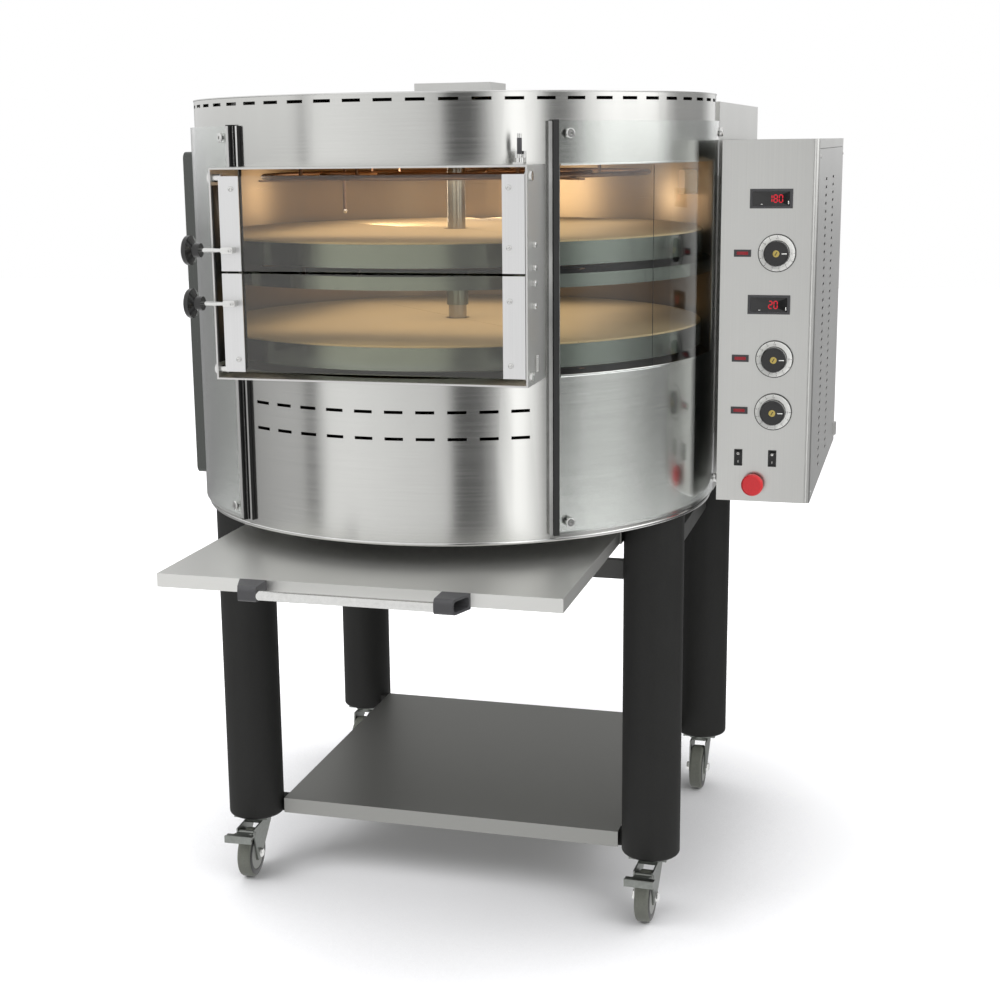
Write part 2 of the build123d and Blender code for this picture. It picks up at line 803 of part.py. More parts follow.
def access_panel():
    """The cover of the casing's service hole, with two columns of vent slots."""
    z_low = drum_bottom + access_lift
    panel = block(-access_width / 2, access_width / 2, casing_depth, casing_depth + access_sheet,
                  z_low, z_low + access_height)
    cuts = []
    for x in (-access_width / 4, access_width / 4):
        for row in range(access_slot_rows):
            z = z_low + access_height / 2 + (row - (access_slot_rows - 1) / 2) * access_slot_pitch
            cuts.append(block(x - access_slot_width / 2, x + access_slot_width / 2,
                              casing_depth - past, casing_depth + access_sheet + past,
                              z - access_slot_height / 2, z + access_slot_height / 2))
    return panel - cuts


def steam_vent():
    """A low box on the roof with a round outlet in its top and a collar round the outlet."""
    x_half = vent_width / 2
    y_low, y_high = -vent_front, vent_depth - vent_front
    y_middle = (y_low + y_high) / 2
    top = roof_top + vent_height
    outside = block(-x_half, x_half, y_low, y_high, roof_top, top)
    inside = block(-x_half + vent_sheet, x_half - vent_sheet, y_low + vent_sheet,
                   y_high - vent_sheet, roof_top - past, top - vent_sheet)
    box = outside - inside
    collar = disc(vent_bore_radius + vent_sheet, top - vent_collar, top, 0, y_middle)
    bore = disc(vent_bore_radius, roof_top - past, top + past, 0, y_middle)
    return box + collar - bore


def side_pane(start, end):
    """A curved glass pane that stands off the shell."""
    return sector(pane_outer_radius, pane_inner_radius, start, end, pane_z, pane_z + pane_height)


def gasket(start):
    """The rubber strip along a pane's front edge."""
    return sector(pane_outer_radius + gasket_proud, drum_radius + seat_gap, start,
                  start + gasket_angle, pane_z - gasket_over, pane_z + pane_height + gasket_over)


def cap_bolt(angle, z):
    """A round-headed bolt with its socket, that holds a pane to the shell."""
    head_low = pane_outer_radius + seat_gap
    head_high = head_low + cap_bolt_head
    head = rod_y(cap_bolt_radius, 0, -head_high, -head_low, z)
    head = fillet(head.edges().group_by(Axis.Y)[0], cap_bolt_round)
    socket = rod_y(cap_bolt_socket, 0, -head_high - past, -head_high + cap_bolt_socket, z)
    return turned(angle, head - socket)


def door_frame():
    """A bent sheet frame round the doorway, fitted to the shell's curve."""
    half = frame_width / 2
    outside = block(-half, half, -frame_reach, 0, frame_bottom, frame_top)
    inside = block(-half + frame_sheet, half - frame_sheet, -frame_reach - past, past,
                   opening_bottom, opening_top)
    frame = outside - inside - disc(drum_radius + seat_gap, frame_bottom - past, frame_top + past)
    pivots = []
    for z in (upper_pivot_z, lower_pivot_z):
        pivots.append(rod_x(pivot_bolt_radius + running_gap, -half - past, half + past, pivot_y, z))
    return frame - pivots


pivot_y = -frame_reach + pivot_depth
upper_pivot_z = frame_top - pivot_inset
lower_pivot_z = frame_bottom + pivot_inset


def pivot_bolt(z, side):
    """A door's pivot: a headed bolt through the frame's cheek into the door's flange."""
    outer_x = frame_width / 2
    inner_x = door_right_x if side > 0 else -door_left_x
    shank = rod_x(pivot_bolt_radius, inner_x - band_sheet - side_play, outer_x + past, pivot_y, z)
    head = rod_x(pivot_head_radius, outer_x + seat_gap, outer_x + pivot_head_length, pivot_y, z)
    bolt = shank + head
    if side < 0:
        collar_end = outer_x - frame_sheet - side_play
        bolt += rod_x(pivot_collar_radius, inner_x + side_play, collar_end, pivot_y, z)
        bolt = mirrored(bolt)
    return bolt


door_right_x = frame_width / 2 - frame_sheet - 2 * side_play
door_left_x = -(frame_width / 2 - frame_sheet - door_left_gap)


def stop_bolt(drop):
    """A small bolt head on the right cheek."""
    x = frame_width / 2
    y = -frame_reach + stop_bolt_depth
    return rod_x(stop_bolt_radius, x + seat_gap, x + stop_bolt_head, y, frame_top - drop)


def door_stop():
    """A bracket with an upright stud and nut, on top of the door frame."""
    x = frame_width / 2 - door_stop_inset
    x_low, x_high = x - door_stop_width / 2, x + door_stop_width / 2
    y = -drum_radius + door_stop_back
    y_low, y_high = y - door_stop_depth / 2, y + door_stop_depth / 2
    foot_top = frame_top + door_stop_foot
    foot = block(x_low, x_high, y_low, y_high, frame_top, foot_top)
    upright = block(x_low, x_high, y_high - door_stop_sheet, y_high,
                    frame_top, frame_top + door_stop_height)
    stud = disc(door_stop_stud_radius, foot_top - past, frame_top + door_stop_stud, x, y)
    nut = disc(door_stop_nut_radius, foot_top, foot_top + door_stop_nut_height, x, y)
    return foot + upright + stud + nut


save("outer_shell", outer_shell())
save("base_plate", base_plate())
save("rear_casing", rear_casing())
save("rear_access_panel", access_panel())
save("steam_vent", steam_vent())
steam_slot_y = vent_depth - vent_front - steam_slot_inset
steam_slot = block(-steam_slot_width / 2, steam_slot_width / 2, steam_slot_y - steam_slot_depth,
                   steam_slot_y, drum_bottom, drum_top + vent_height)
save("roof_panel", disc(liner_radius, roof_bottom, roof_top) - steam_slot)
save("side_glass_panes", side_pane(pane_start, pane_end), side_pane(-pane_end, -pane_start))
right_gasket_start = pane_start - gasket_gap_angle - gasket_angle
left_gasket_start = -pane_start + gasket_gap_angle
save("glass_gaskets", gasket(right_gasket_start), gasket(left_gasket_start))
save("door_frame", door_frame())
bolt_angles = (pane_start + cap_bolt_inset_angle, pane_end - cap_bolt_inset_angle)
bolt_heights = (pane_z + cap_bolt_inset, pane_z + pane_height - cap_bolt_inset)
pane_bolts = []
for angle in bolt_angles:
    for z in bolt_heights:
        pane_bolts += [cap_bolt(-angle, z), cap_bolt(angle, z)]
pivot_bolts = [pivot_bolt(z, side) for z in (upper_pivot_z, lower_pivot_z) for side in (-1, 1)]
stop_bolts = [stop_bolt(drop) for drop in stop_bolt_drops]
save("cap_bolts", *pane_bolts, *pivot_bolts, *stop_bolts, door_stop())


# Cooking chamber

def tail_holes(gap, y_high):
    """Cutters for the tails of all the elements, through what lies behind the chamber."""
    holes = []
    for z in (ceiling_rod_z, middle_rod_z, floor_rod_z):
        for tail in element_tails:
            for x in (-tail, tail):
                holes.append(rod_y(rod_radius + gap, x, liner_radius - tail_cut, y_high, z))
    return holes


ceiling_rod_z = ceiling_z - ceiling_rod_drop
middle_rod_z = shield_z + shield_band_height + middle_rod_lift
floor_rod_z = chamber_floor_top + floor_rod_lift
shaft_hole = disc(shaft_radius + shaft_hole_gap, drum_bottom, drum_top)
chamber_floor = disc(liner_radius, chamber_floor_top - chamber_sheet, chamber_floor_top) - shaft_hole
chamber_ceiling = disc(liner_radius, ceiling_z, ceiling_z + chamber_sheet) - shaft_hole
wall_start = shell_end - liner_lap
chamber_wall = sector(liner_radius, liner_radius - chamber_sheet, wall_start, 360 - wall_start,
                      chamber_floor_top, ceiling_z)
chamber_wall -= tail_holes(side_play, liner_radius + tail_cut)
(probe_x, probe_y), (low_probe_x, low_probe_y) = probe_spots
probe_hole = disc(probe_radius + probe_hole_gap, ceiling_z - past, roof_bottom, probe_x, probe_y)
save("chamber_liner", chamber_floor, chamber_wall, chamber_ceiling - probe_hole - steam_slot)

shield_radius = liner_radius - chamber_sheet - seat_gap
shield_top = shield_z + shield_band_height
shield = disc(shield_radius, shield_z, shield_top)
shield -= disc(shield_radius - chamber_sheet, shield_z + chamber_sheet, shield_top + past)
shield -= disc(shield_bore, shield_z - past, shield_top)
save("middle_heat_shield", shield)

insulation_radius = liner_radius - insulation_gap
floor_slab_top = chamber_floor_top - chamber_sheet
floor_slab = disc(insulation_radius, floor_slab_top - floor_insulation, floor_slab_top) - shaft_hole
ceiling_slab = disc(insulation_radius, ceiling_z + chamber_sheet,
                    ceiling_z + chamber_sheet + ceiling_insulation)
ceiling_slab = ceiling_slab - shaft_hole - probe_hole - steam_slot
blanket_radius = liner_radius + seat_gap
rear_blanket = sector(blanket_radius + rear_insulation, blanket_radius, blanket_start,
                      360 - blanket_start, chamber_floor_top, ceiling_z)
rear_blanket -= tail_holes(tail_hole_gap, blanket_radius + rear_insulation + past)
save("insulation", floor_slab, ceiling_slab, rear_blanket)


# Heating elements, probes and lamp

def element(radius, tail, z):
    """A rod bent to a ring that is open at the back, with two tails that run out backwards."""
    half_gap = 90 - acos(tail / radius) * 180 / pi
    section = Rot(0, 0, 90 + half_gap) * Pos(radius, 0, z) * Rot(90, 0, 0) * Circle(rod_radius)
    rod = revolve(section, axis=Axis.Z, revolution_arc=360 - 2 * half_gap)
    start = sqrt(radius ** 2 - tail ** 2)
    for x in (-tail, tail):
        rod += rod_y(rod_radius, x, start, tail_end, z)
        rod += Pos(x, start, z) * Sphere(element_elbow)
    return rod


def support(angle, rod_z, anchor_z):
    """A radial bar under the rods, on two posts that reach the sheet that carries it."""
    bar_top = rod_z - rod_radius - seat_gap
    bar_low = bar_top - support_sheet
    bar = block(-support_width / 2, support_width / 2, -support_end, -support_start, bar_low, bar_top)
    for spot in support_post_spots:
        post_low = min(anchor_z, bar_low)
        post_high = max(anchor_z, bar_top)
        bar += disc(support_post_radius, post_low, post_high, 0, -spot)
    return turned(angle, bar)


element_sets = (
    (ceiling_rod_z, ceiling_z),
    (middle_rod_z, shield_z + chamber_sheet),
    (floor_rod_z, chamber_floor_top),
)
heating = []
for rod_z, anchor_z in element_sets:
    for radius, tail in zip(element_radii, element_tails):
        heating.append(element(radius, tail, rod_z))
    for angle in support_angles:
        heating.append(support(angle, rod_z, anchor_z))
heating.append(disc(probe_radius, ceiling_z - upper_probe_length, ceiling_z + probe_head, probe_x, probe_y))
heating.append(disc(probe_radius, shield_z - lower_probe_length, shield_z, low_probe_x, low_probe_y))
save("heating_elements", *heating)

lamp_z = ceiling_z - lamp_drop
lamp_out = liner_radius - chamber_sheet
lamp = block(-lamp_width / 2, lamp_width / 2, -lamp_out - past, -lamp_out + lamp_depth,
             lamp_z - lamp_height / 2, lamp_z + lamp_height / 2)
lamp = fillet(lamp.edges().filter_by(Axis.Y), lamp_round)
lamp &= disc(lamp_out - seat_gap, lamp_z - lamp_height, lamp_z + lamp_height)
save("oven_lamp", turned(lamp_angle, lamp))


# Turntable and drive

def gear(teeth, face, bore, half_turn):
    """A spur gear. Its flanks are involutes, thinned by the backlash so that a pair runs free."""
    pitch_radius = gear_module * teeth / 2
    pitch_pressure = radians(gear_pressure_angle)
    base_radius = pitch_radius * cos(pitch_pressure)
    tip_radius = pitch_radius + gear_tip * gear_module
    root_radius = pitch_radius - gear_root * gear_module
    pitch_involute = tan(pitch_pressure) - pitch_pressure
    half_tooth = pi / (2 * teeth) - gear_backlash / (4 * pitch_radius) + pitch_involute
    steps = 4
    low = max(base_radius, root_radius)
    flank = [(root_radius, half_tooth if low == base_radius else None)]
    for step in range(steps):
        radius = low + (tip_radius - low) * step / (steps - 1)
        pressure = acos(min(1.0, base_radius / radius))
        flank.append((radius, half_tooth - (tan(pressure) - pressure)))
    if flank[0][1] is None:
        pressure = acos(min(1.0, base_radius / root_radius))
        flank[0] = (root_radius, half_tooth - (tan(pressure) - pressure))
        del flank[1]
    points = []
    for tooth in range(teeth):
        middle = 2 * pi * (tooth + (0.5 if half_turn else 0.0)) / teeth
        for radius, half in flank:
            points.append((radius * cos(middle - half), radius * sin(middle - half)))
        for radius, half in reversed(flank):
            points.append((radius * cos(middle + half), radius * sin(middle + half)))
    blank = extrude(make_face(Polyline(*points, close=True)), amount=face, dir=(0, 0, 1))
    return blank - disc(bore, -past, face + past)


def deck_pan(z_low, sleeve_length):
    """A banded steel pan with a hub, and any sleeve below the hub, on the shaft."""
    band = ring(deck_radius, deck_radius - deck_sheet, z_low, z_low + deck_band_height)
    plate_low = z_low + deck_plate_lift
    plate = disc(deck_radius - deck_sheet / 2, plate_low, plate_low + deck_plate)
    hub_low = plate_low - deck_hub_height
    hub = disc(deck_hub_radius, hub_low, plate_low + past)
    sleeve = disc(deck_sleeve_radius, hub_low - sleeve_length, plate_low)
    bore = disc(shaft_radius + running_gap, hub_low - sleeve_length - past, plate_low + deck_plate + past)
    return band + plate + hub + sleeve - bore


def deck_stone(z_low):
    """The baking stone that lies in a pan, in two halves."""
    low = z_low + deck_plate_lift + deck_plate
    high = z_low + deck_band_height + stone_proud
    stone = disc(deck_radius - deck_sheet - stone_gap, low, high)
    stone = fillet(stone.edges().group_by(Axis.Z)[-1], stone_round)
    joint = block(-stone_joint / 2, stone_joint / 2, -deck_radius, deck_radius, low - past, high + past)
    stone = stone - disc(stone_bore, low - past, high + past) - turned(stone_joint_angle, joint)
    return stone.solids()


lower_bearing_low = base_top
upper_bearing_high = roof_bottom
shaft_low = lower_bearing_low + bearing_floor
shaft_high = upper_bearing_high - bearing_roof
save("turntable_shaft", disc(shaft_radius, shaft_low, shaft_high))
save("deck_pans", deck_pan(lower_deck_bottom, 0), deck_pan(upper_deck_bottom, deck_sleeve_length))
save("deck_stones", *deck_stone(lower_deck_bottom), *deck_stone(upper_deck_bottom))

driven = Pos(0, 0, gear_bottom) * gear(gear_teeth, gear_face, shaft_radius + running_gap, False)
gear_hub = ring(gear_hub_radius, shaft_radius + running_gap, gear_bottom - gear_hub_height, gear_bottom)
save("driven_gear", driven + gear_hub)

gearbox_top = gear_bottom - gearbox_drop
motor_shaft_low = gearbox_top - motor_shaft_depth
motor_shaft_high = gear_bottom + gear_face + motor_shaft_end
pinion = Pos(0, pinion_distance, gear_bottom) * gear(
    pinion_teeth, gear_face, motor_shaft_radius - past, True
)
pinion_shaft = disc(motor_shaft_radius, motor_shaft_low, motor_shaft_high, 0, pinion_distance)
save("motor_pinion", pinion + pinion_shaft)

gearbox = block(-gearbox_size / 2, gearbox_size / 2, pinion_distance - gearbox_size / 2,
                pinion_distance + gearbox_size / 2, base_top, gearbox_top)
gearbox = fillet(gearbox.edges().filter_by(Axis.Z), gearbox_round)
motor_y = pinion_distance + gearbox_size / 2
motor = rod_y(motor_radius, 0, motor_y - past, motor_y + motor_length, (base_top + gearbox_top) / 2)
motor_bore = disc(motor_shaft_radius + running_gap, motor_shaft_low - side_play, gearbox_top + past,
                  0, pinion_distance)
save("gear_motor", gearbox + motor - motor_bore)

lower_bearing = disc(bearing_flange_radius, lower_bearing_low, lower_bearing_low + bearing_flange)
lower_bearing += disc(bearing_radius, lower_bearing_low, lower_bearing_low + bearing_flange + bearing_height)
lower_bearing -= disc(shaft_radius + running_gap, shaft_low - seat_gap, drum_top)
upper_bearing_low = upper_bearing_high - bearing_flange - bearing_height
upper_bearing = disc(bearing_flange_radius, upper_bearing_high - bearing_flange, upper_bearing_high)
upper_bearing += disc(bearing_radius, upper_bearing_low, upper_bearing_high)
upper_bearing -= disc(shaft_radius + running_gap, drum_bottom, shaft_high + seat_gap)
save("shaft_bearings", lower_bearing, upper_bearing)


# Doors

def door_band(x_low, x_high, z_low, z_high, flange_side, pivot_z):
    """An upright band on the glass, with a flange that turns on the pivot bolt."""
    front = -frame_reach
    face = block(x_low, x_high, front, front + band_sheet, z_low, z_high)
    flange_x = (x_low, x_low + band_sheet) if flange_side < 0 else (x_high - band_sheet, x_high)
    flange = block(*flange_x, front, front + band_flange, z_low, z_high)
    corner_end = pivot_z + band_corner * (1 if pivot_z > (z_low + z_high) / 2 else -1)
    corner = (min(pivot_z, corner_end), max(pivot_z, corner_end))
    flange -= block(*flange_x, pivot_y, front + band_flange + past, *corner)
    flange += rod_x(band_pivot_radius, *flange_x, pivot_y, pivot_z)
    swing = pivot_inset - frame_sheet - pivot_play
    limit = rod_x(swing, x_low - past, x_high + past, pivot_y, pivot_z)
    cap = block(x_low - past, x_high + past, front - past, front + band_flange + band_corner, *corner)
    bore = rod_x(pivot_bolt_radius + running_gap, x_low - past, x_high + past, pivot_y, pivot_z)
    return face + flange - (cap - limit) - bore


def door_glass_pane(z_low, z_high):
    """The door's glass, behind its bands."""
    back_of_band = -frame_reach + band_sheet + glass_seat
    return block(door_left_x + band_sheet + 2 * side_play, door_right_x - band_sheet - 2 * side_play,
                 back_of_band, back_of_band + door_glass, z_low, z_high)


handle_rod_end = -frame_width / 2 - handle_rod_past


def handle_rod(z):
    """A rod that stands to the left from a clevis on the door's left band."""
    front = -frame_reach
    clevis_high_x = door_left_x + band_width_left - clevis_inset
    clevis_low_x = clevis_high_x - clevis_width
    y = front - handle_ahead
    clevis = block(clevis_low_x, clevis_high_x, y - clevis_nose, front,
                   z - clevis_height / 2, z + clevis_height / 2)
    clevis = fillet(clevis.edges().filter_by(Axis.Y), clevis_round)
    return clevis + rod_x(handle_rod_radius, handle_rod_end, clevis_low_x + clevis_round, y, z)


def handle_knob(z):
    """A turned knob on the end of a handle rod: a hub that widens to a domed disc."""
    hub_end = handle_rod_end - knob_hub_length
    taper_start = hub_end + knob_taper
    face = hub_end - knob_disc_length
    outline = Polyline(
        (handle_rod_end, 0),
        (handle_rod_end, knob_hub_radius),
        (taper_start, knob_hub_radius),
        (hub_end, knob_disc_radius),
        (face, knob_disc_radius),
        (face, 0),
        close=True,
    )
    knob = revolve(make_face(outline), axis=Axis.X)
    knob = fillet(knob.edges().filter_by(GeomType.CIRCLE).group_by(Axis.X)[0], knob_round)
    return Pos(0, -frame_reach - handle_ahead, z) * knob


upper_door_low = upper_pivot_z - upper_door_share
lower_door_high = upper_door_low - door_gap
door_spans = {
    "upper": (upper_door_low, upper_pivot_z + door_edge, upper_pivot_z, upper_door_low + handle_rise),
    "lower": (lower_pivot_z - door_edge, lower_door_high, lower_pivot_z, lower_door_high - handle_drop),
}
for name, (z_low, z_high, pivot_z, handle_z) in door_spans.items():
    left_band = door_band(door_left_x, door_left_x + band_width_left, z_low, z_high, -1, pivot_z)
    right_band = door_band(door_right_x - band_width_right, door_right_x, z_low, z_high, 1, pivot_z)
    save(f"{name}_door_bands", left_band, right_band)
    save(f"{name}_door_glass", door_glass_pane(z_low, z_high))
    save(f"{name}_handle_rod", handle_rod(handle_z))
    save(f"{name}_handle_knob", handle_knob(handle_z))


# Control cabinet

def on_panel(spot):
    """A spot on the control panel, as x and z."""
    across, down = spot
    return cabinet_left + across, cabinet_top - down


def panel_block(spot, width, height, y_low, y_high):
    """A block centred on a spot of the control panel, between two depths."""
    x, z = on_panel(spot)
    return block(x - width / 2, x + width / 2, y_low, y_high, z - height / 2, z + height / 2)


def panel_rod(spot, radius, y_low, y_high):
    """A cylinder square to the control panel, centred on a spot."""
    x, z = on_panel(spot)
    return rod_y(radius, x, y_low, y_high, z)


panel_face = -cabinet_front
panel_back = panel_face + panel_sheet
gland_x = cabinet_left + cabinet_width / 2
gland_y = cabinet_back - gland_inset


def control_panel():
    """The folded front sheet with its rounded right corner and its cut-outs."""
    outside = block(cabinet_left, cabinet_right, panel_face, panel_face + panel_return,
                    cabinet_bottom, cabinet_top)
    corner = outside.edges().filter_by(Axis.Z).group_by(Axis.Y)[0].sort_by(Axis.X)[-1]
    outside = fillet(corner, panel_corner)
    inside = block(cabinet_left + panel_sheet, cabinet_right - panel_sheet, panel_back,
                   panel_face + panel_return + past, cabinet_bottom + panel_sheet,
                   cabinet_top - panel_sheet)
    inner_corner = inside.edges().filter_by(Axis.Z).group_by(Axis.Y)[0].sort_by(Axis.X)[-1]
    inside = fillet(inner_corner, panel_corner - panel_sheet)
    cuts = []
    through = (panel_face - past, panel_back + past)
    for spot in display_spots:
        width, height = display_body[0] + 2 * side_play, display_body[1] + 2 * side_play
        cuts.append(panel_block(spot, width, height, *through))
    for spot in indicator_spots:
        width, height = indicator_body[0] + 2 * side_play, indicator_body[1] + 2 * side_play
        cuts.append(panel_block(spot, width, height, *through))
    for spot in dial_spots:
        cuts.append(panel_rod(spot, dial_neck_radius + seat_gap, *through))
    for spot in rocker_spots:
        inset = 2 * (rocker_body_inset - seat_gap)
        cuts.append(panel_block(spot, rocker_frame[0] - inset, rocker_frame[1] - inset, *through))
    cuts.append(panel_rod(stop_spot, stop_neck_radius + seat_gap, *through))
    return outside - inside - cuts


def display(spot, size, body):
    """A framed display that plugs into the panel."""
    bezel = panel_block(spot, *size, panel_face - bezel_proud, panel_face)
    return bezel + panel_block(spot, body[0], body[1], panel_face - past, panel_face + body[2])


def dial_ring(spot):
    """A dial's scale plate, with the body that its spindle turns in."""
    front = panel_face - dial_ring_thickness
    back = panel_back + dial_body_length
    plate = panel_rod(spot, dial_ring_radius, front, panel_face)
    neck = panel_rod(spot, dial_neck_radius, panel_face - past, panel_back + past)
    body = panel_rod(spot, dial_body_radius, panel_back + seat_gap, back)
    bore = panel_rod(spot, spindle_radius + running_gap, front - past, back - dial_body_floor)
    return plate + neck + body - bore


def dial_knob(spot):
    """A knob with its spindle."""
    low = panel_face - dial_ring_thickness - side_play
    knob = panel_rod(spot, dial_knob_radius, low - dial_knob_height, low)
    knob = fillet(knob.edges().group_by(Axis.Y)[0], dial_knob_round)
    spindle_end = panel_back + dial_body_length - 2 * dial_body_floor
    return knob + panel_rod(spot, spindle_radius, low - past, spindle_end)


rocker_pivot_y = panel_face + rocker_pivot_depth


def rocker_housing(spot):
    """A switch's frame and its hollow body behind the panel."""
    width, height = rocker_frame
    body_end = panel_face + rocker_body_length
    frame = panel_block(spot, width, height, panel_face - rocker_frame_proud, panel_face)
    body = panel_block(spot, width - 2 * rocker_body_inset, height - 2 * rocker_body_inset,
                       panel_face - past, body_end)
    pocket = panel_block(spot, width - 2 * rocker_frame_border, height - 2 * rocker_frame_border,
                         panel_face - rocker_frame_proud - past, body_end - rocker_body_floor)
    return frame + body - pocket


def rocker(spot):
    """A rocker with two shallow faces, tilted to one of its two positions."""
    x, z = on_panel(spot)
    half_width = rocker_frame[0] / 2 - rocker_frame_border - rocker_side_gap
    half_height = rocker_frame[1] / 2 - rocker_frame_border - rocker_end_gap
    bevel_depth, bevel_height = rocker_back_bevel
    outline = Polyline(
        (-rocker_rise, -half_height),
        (-rocker_dip, 0),
        (-rocker_rise, half_height),
        (rocker_back - bevel_depth, half_height - bevel_height),
        (rocker_back, 0),
        (rocker_back - bevel_depth, -half_height + bevel_height),
        close=True,
    )
    side = Plane.YZ * make_face(outline)
    body = Pos(-half_width, 0, 0) * extrude(side, amount=2 * half_width, dir=(1, 0, 0))
    return Pos(x, rocker_pivot_y, z) * Rot(rocker_tilt, 0, 0) * body


def stop_housing():
    """The emergency stop's collar and its body behind the panel."""
    front = panel_face - stop_collar_thickness
    back = panel_face + stop_body_length
    collar = panel_rod(stop_spot, stop_collar_radius, front, panel_face)
    neck = panel_rod(stop_spot, stop_neck_radius, panel_face - past, panel_back + past)
    body = panel_rod(stop_spot, stop_body_radius, panel_back + seat_gap, back)
    bore = panel_rod(stop_spot, stop_stem_radius + running_gap, front - past, back - stop_body_floor)
    return collar + neck + body - bore


def stop_button():
    """A mushroom head on a stem."""
    head_back = panel_face - stop_collar_thickness - stop_travel - side_play
    head = panel_rod(stop_spot, stop_radius, head_back - stop_thickness, head_back)
    head = fillet(head.edges().group_by(Axis.Y)[0], stop_round)
    stem_end = panel_face + stop_body_length - stop_body_floor - stop_travel - stop_stem_gap
    return head + panel_rod(stop_spot, stop_stem_radius, head_back - past, stem_end)


def cabinet_shell():
    """The cabinet's left, top, bottom and rear walls, with the duct that joins it to the casing."""
    y_low = panel_face + panel_return
    x_high = cabinet_right - cabinet_sheet
    outside = block(cabinet_left, x_high, y_low, cabinet_back, cabinet_bottom, cabinet_top)
    inside = block(cabinet_left + cabinet_sheet, x_high + past, y_low - past,
                   cabinet_back - cabinet_sheet, cabinet_bottom + cabinet_sheet,
                   cabinet_top - cabinet_sheet)
    rail = block(x_high - past, cabinet_right, y_low, cabinet_back,
                 cabinet_top - side_cover_drop + side_cover_seam, cabinet_top)
    duct_low = cabinet_bottom + duct_margin
    duct_high = cabinet_top - duct_margin
    duct = block(drum_radius + seat_gap, cabinet_left, duct_front, duct_back, duct_low, duct_high)
    passage = block(drum_radius - past, cabinet_left + cabinet_sheet + past, duct_front + cabinet_sheet,
                    duct_back - cabinet_sheet, duct_low + cabinet_sheet, duct_high - cabinet_sheet)
    cable_hole = disc(gland_bore_radius + gland_hole_gap, cabinet_bottom - past,
                      cabinet_bottom + cabinet_sheet + past, gland_x, gland_y)
    return outside - inside + rail + duct - passage - cable_hole


def side_cover():
    """The cabinet's right side with two columns of vent slots."""
    x_low = cabinet_right - cabinet_sheet
    cover = block(x_low, cabinet_right, panel_face + panel_return + side_cover_seam, cabinet_back,
                  cabinet_bottom, cabinet_top - side_cover_drop)
    cuts = []
    for y in side_slot_columns:
        for row in range(side_slot_rows):
            z = cabinet_top - side_slot_top - row * side_slot_pitch
            cuts.append(block(x_low - past, cabinet_right + past, y - side_slot_width / 2,
                              y + side_slot_width / 2, z - side_slot_height / 2,
                              z + side_slot_height / 2))
    return cover - cuts


def latch():
    """The cover's latch near its lower rear corner."""
    y = cabinet_back - latch_inset[0]
    z = cabinet_bottom + latch_inset[1]
    return block(cabinet_right, cabinet_right + latch_reach, y - latch_width / 2, y + latch_width / 2,
                 z - latch_height / 2, z + latch_height / 2)


def cable_gland():
    """The mains inlet's gland under the cabinet, with its bore."""
    return ring(gland_radius, gland_bore_radius, cabinet_bottom - gland_length, cabinet_bottom,
                gland_x, gland_y)


save("control_panel", control_panel())
save("cabinet_shell", cabinet_shell())
save("cabinet_side_cover", side_cover(), latch())
displays = [display(spot, display_size, display_body) for spot in display_spots]
displays += [display(spot, indicator_size, indicator_body) for spot in indicator_spots]
save("panel_displays", *displays)
fittings = [dial_ring(spot) for spot in dial_spots]
fittings += [rocker_housing(spot) for spot in rocker_spots]
save("panel_fittings", *fittings, stop_housing(), cable_gland())
for number, spot in enumerate(dial_spots, 1):
    save(f"dial_knob_{number}", dial_knob(spot))
for name, spot in zip(("left", "right"), rocker_spots):
    save(f"rocker_switch_{name}", rocker(spot))
save("emergency_button", stop_button())


# Left cover

def left_cover():
    """A shallow service cover on the left, open towards the drum and fitted round the glass."""
    y_low, y_high = -cover_front, cover_depth - cover_front
    z_low, z_high = cover_bottom, cover_bottom + cover_height
    x_inner = -drum_radius - seat_gap
    outside = block(-cover_reach, x_inner, y_low, y_high, z_low, z_high)
    outside = fillet(outside.edges().filter_by(Axis.X), cover_corner)
    inside = block(-cover_reach + cover_sheet, x_inner + past, y_low + cover_sheet, y_high - cover_sheet,
                   z_low + cover_sheet, z_high - cover_sheet)
    inside = fillet(inside.edges().filter_by(Axis.X), cover_corner - cover_sheet)
    return outside - inside - disc(pane_outer_radius + cover_glass_gap, z_low - past, z_high + past)


save("left_cover", left_cover())
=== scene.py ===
# %% [markdown]
# This is a rotating pizza oven: a steel drum with two turning stone decks, on a stand with
# castors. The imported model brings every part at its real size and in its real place, and
# nothing here moves it. This lesson adds the finishes, the light, and the small pieces that
# show on the real oven: screws, scales, digits, trims and beads.

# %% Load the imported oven
import json
import math

import bmesh
import bpy
import numpy as np
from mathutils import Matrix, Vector


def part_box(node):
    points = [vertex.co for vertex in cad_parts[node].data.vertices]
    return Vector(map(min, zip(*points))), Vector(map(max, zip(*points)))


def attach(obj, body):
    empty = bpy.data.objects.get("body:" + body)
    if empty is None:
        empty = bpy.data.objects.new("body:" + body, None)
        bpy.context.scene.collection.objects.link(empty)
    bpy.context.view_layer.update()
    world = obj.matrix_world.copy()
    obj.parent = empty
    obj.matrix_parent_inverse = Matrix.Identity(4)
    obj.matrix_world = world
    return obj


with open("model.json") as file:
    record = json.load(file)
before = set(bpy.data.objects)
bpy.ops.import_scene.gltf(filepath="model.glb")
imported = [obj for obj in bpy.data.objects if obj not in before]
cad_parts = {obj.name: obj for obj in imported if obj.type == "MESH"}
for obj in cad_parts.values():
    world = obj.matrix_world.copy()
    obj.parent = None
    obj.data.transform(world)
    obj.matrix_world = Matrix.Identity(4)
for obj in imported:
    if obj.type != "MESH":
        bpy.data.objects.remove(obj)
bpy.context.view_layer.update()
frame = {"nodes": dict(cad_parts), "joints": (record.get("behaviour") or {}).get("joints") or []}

scene = bpy.context.scene
scene.view_settings.view_transform = "Standard"

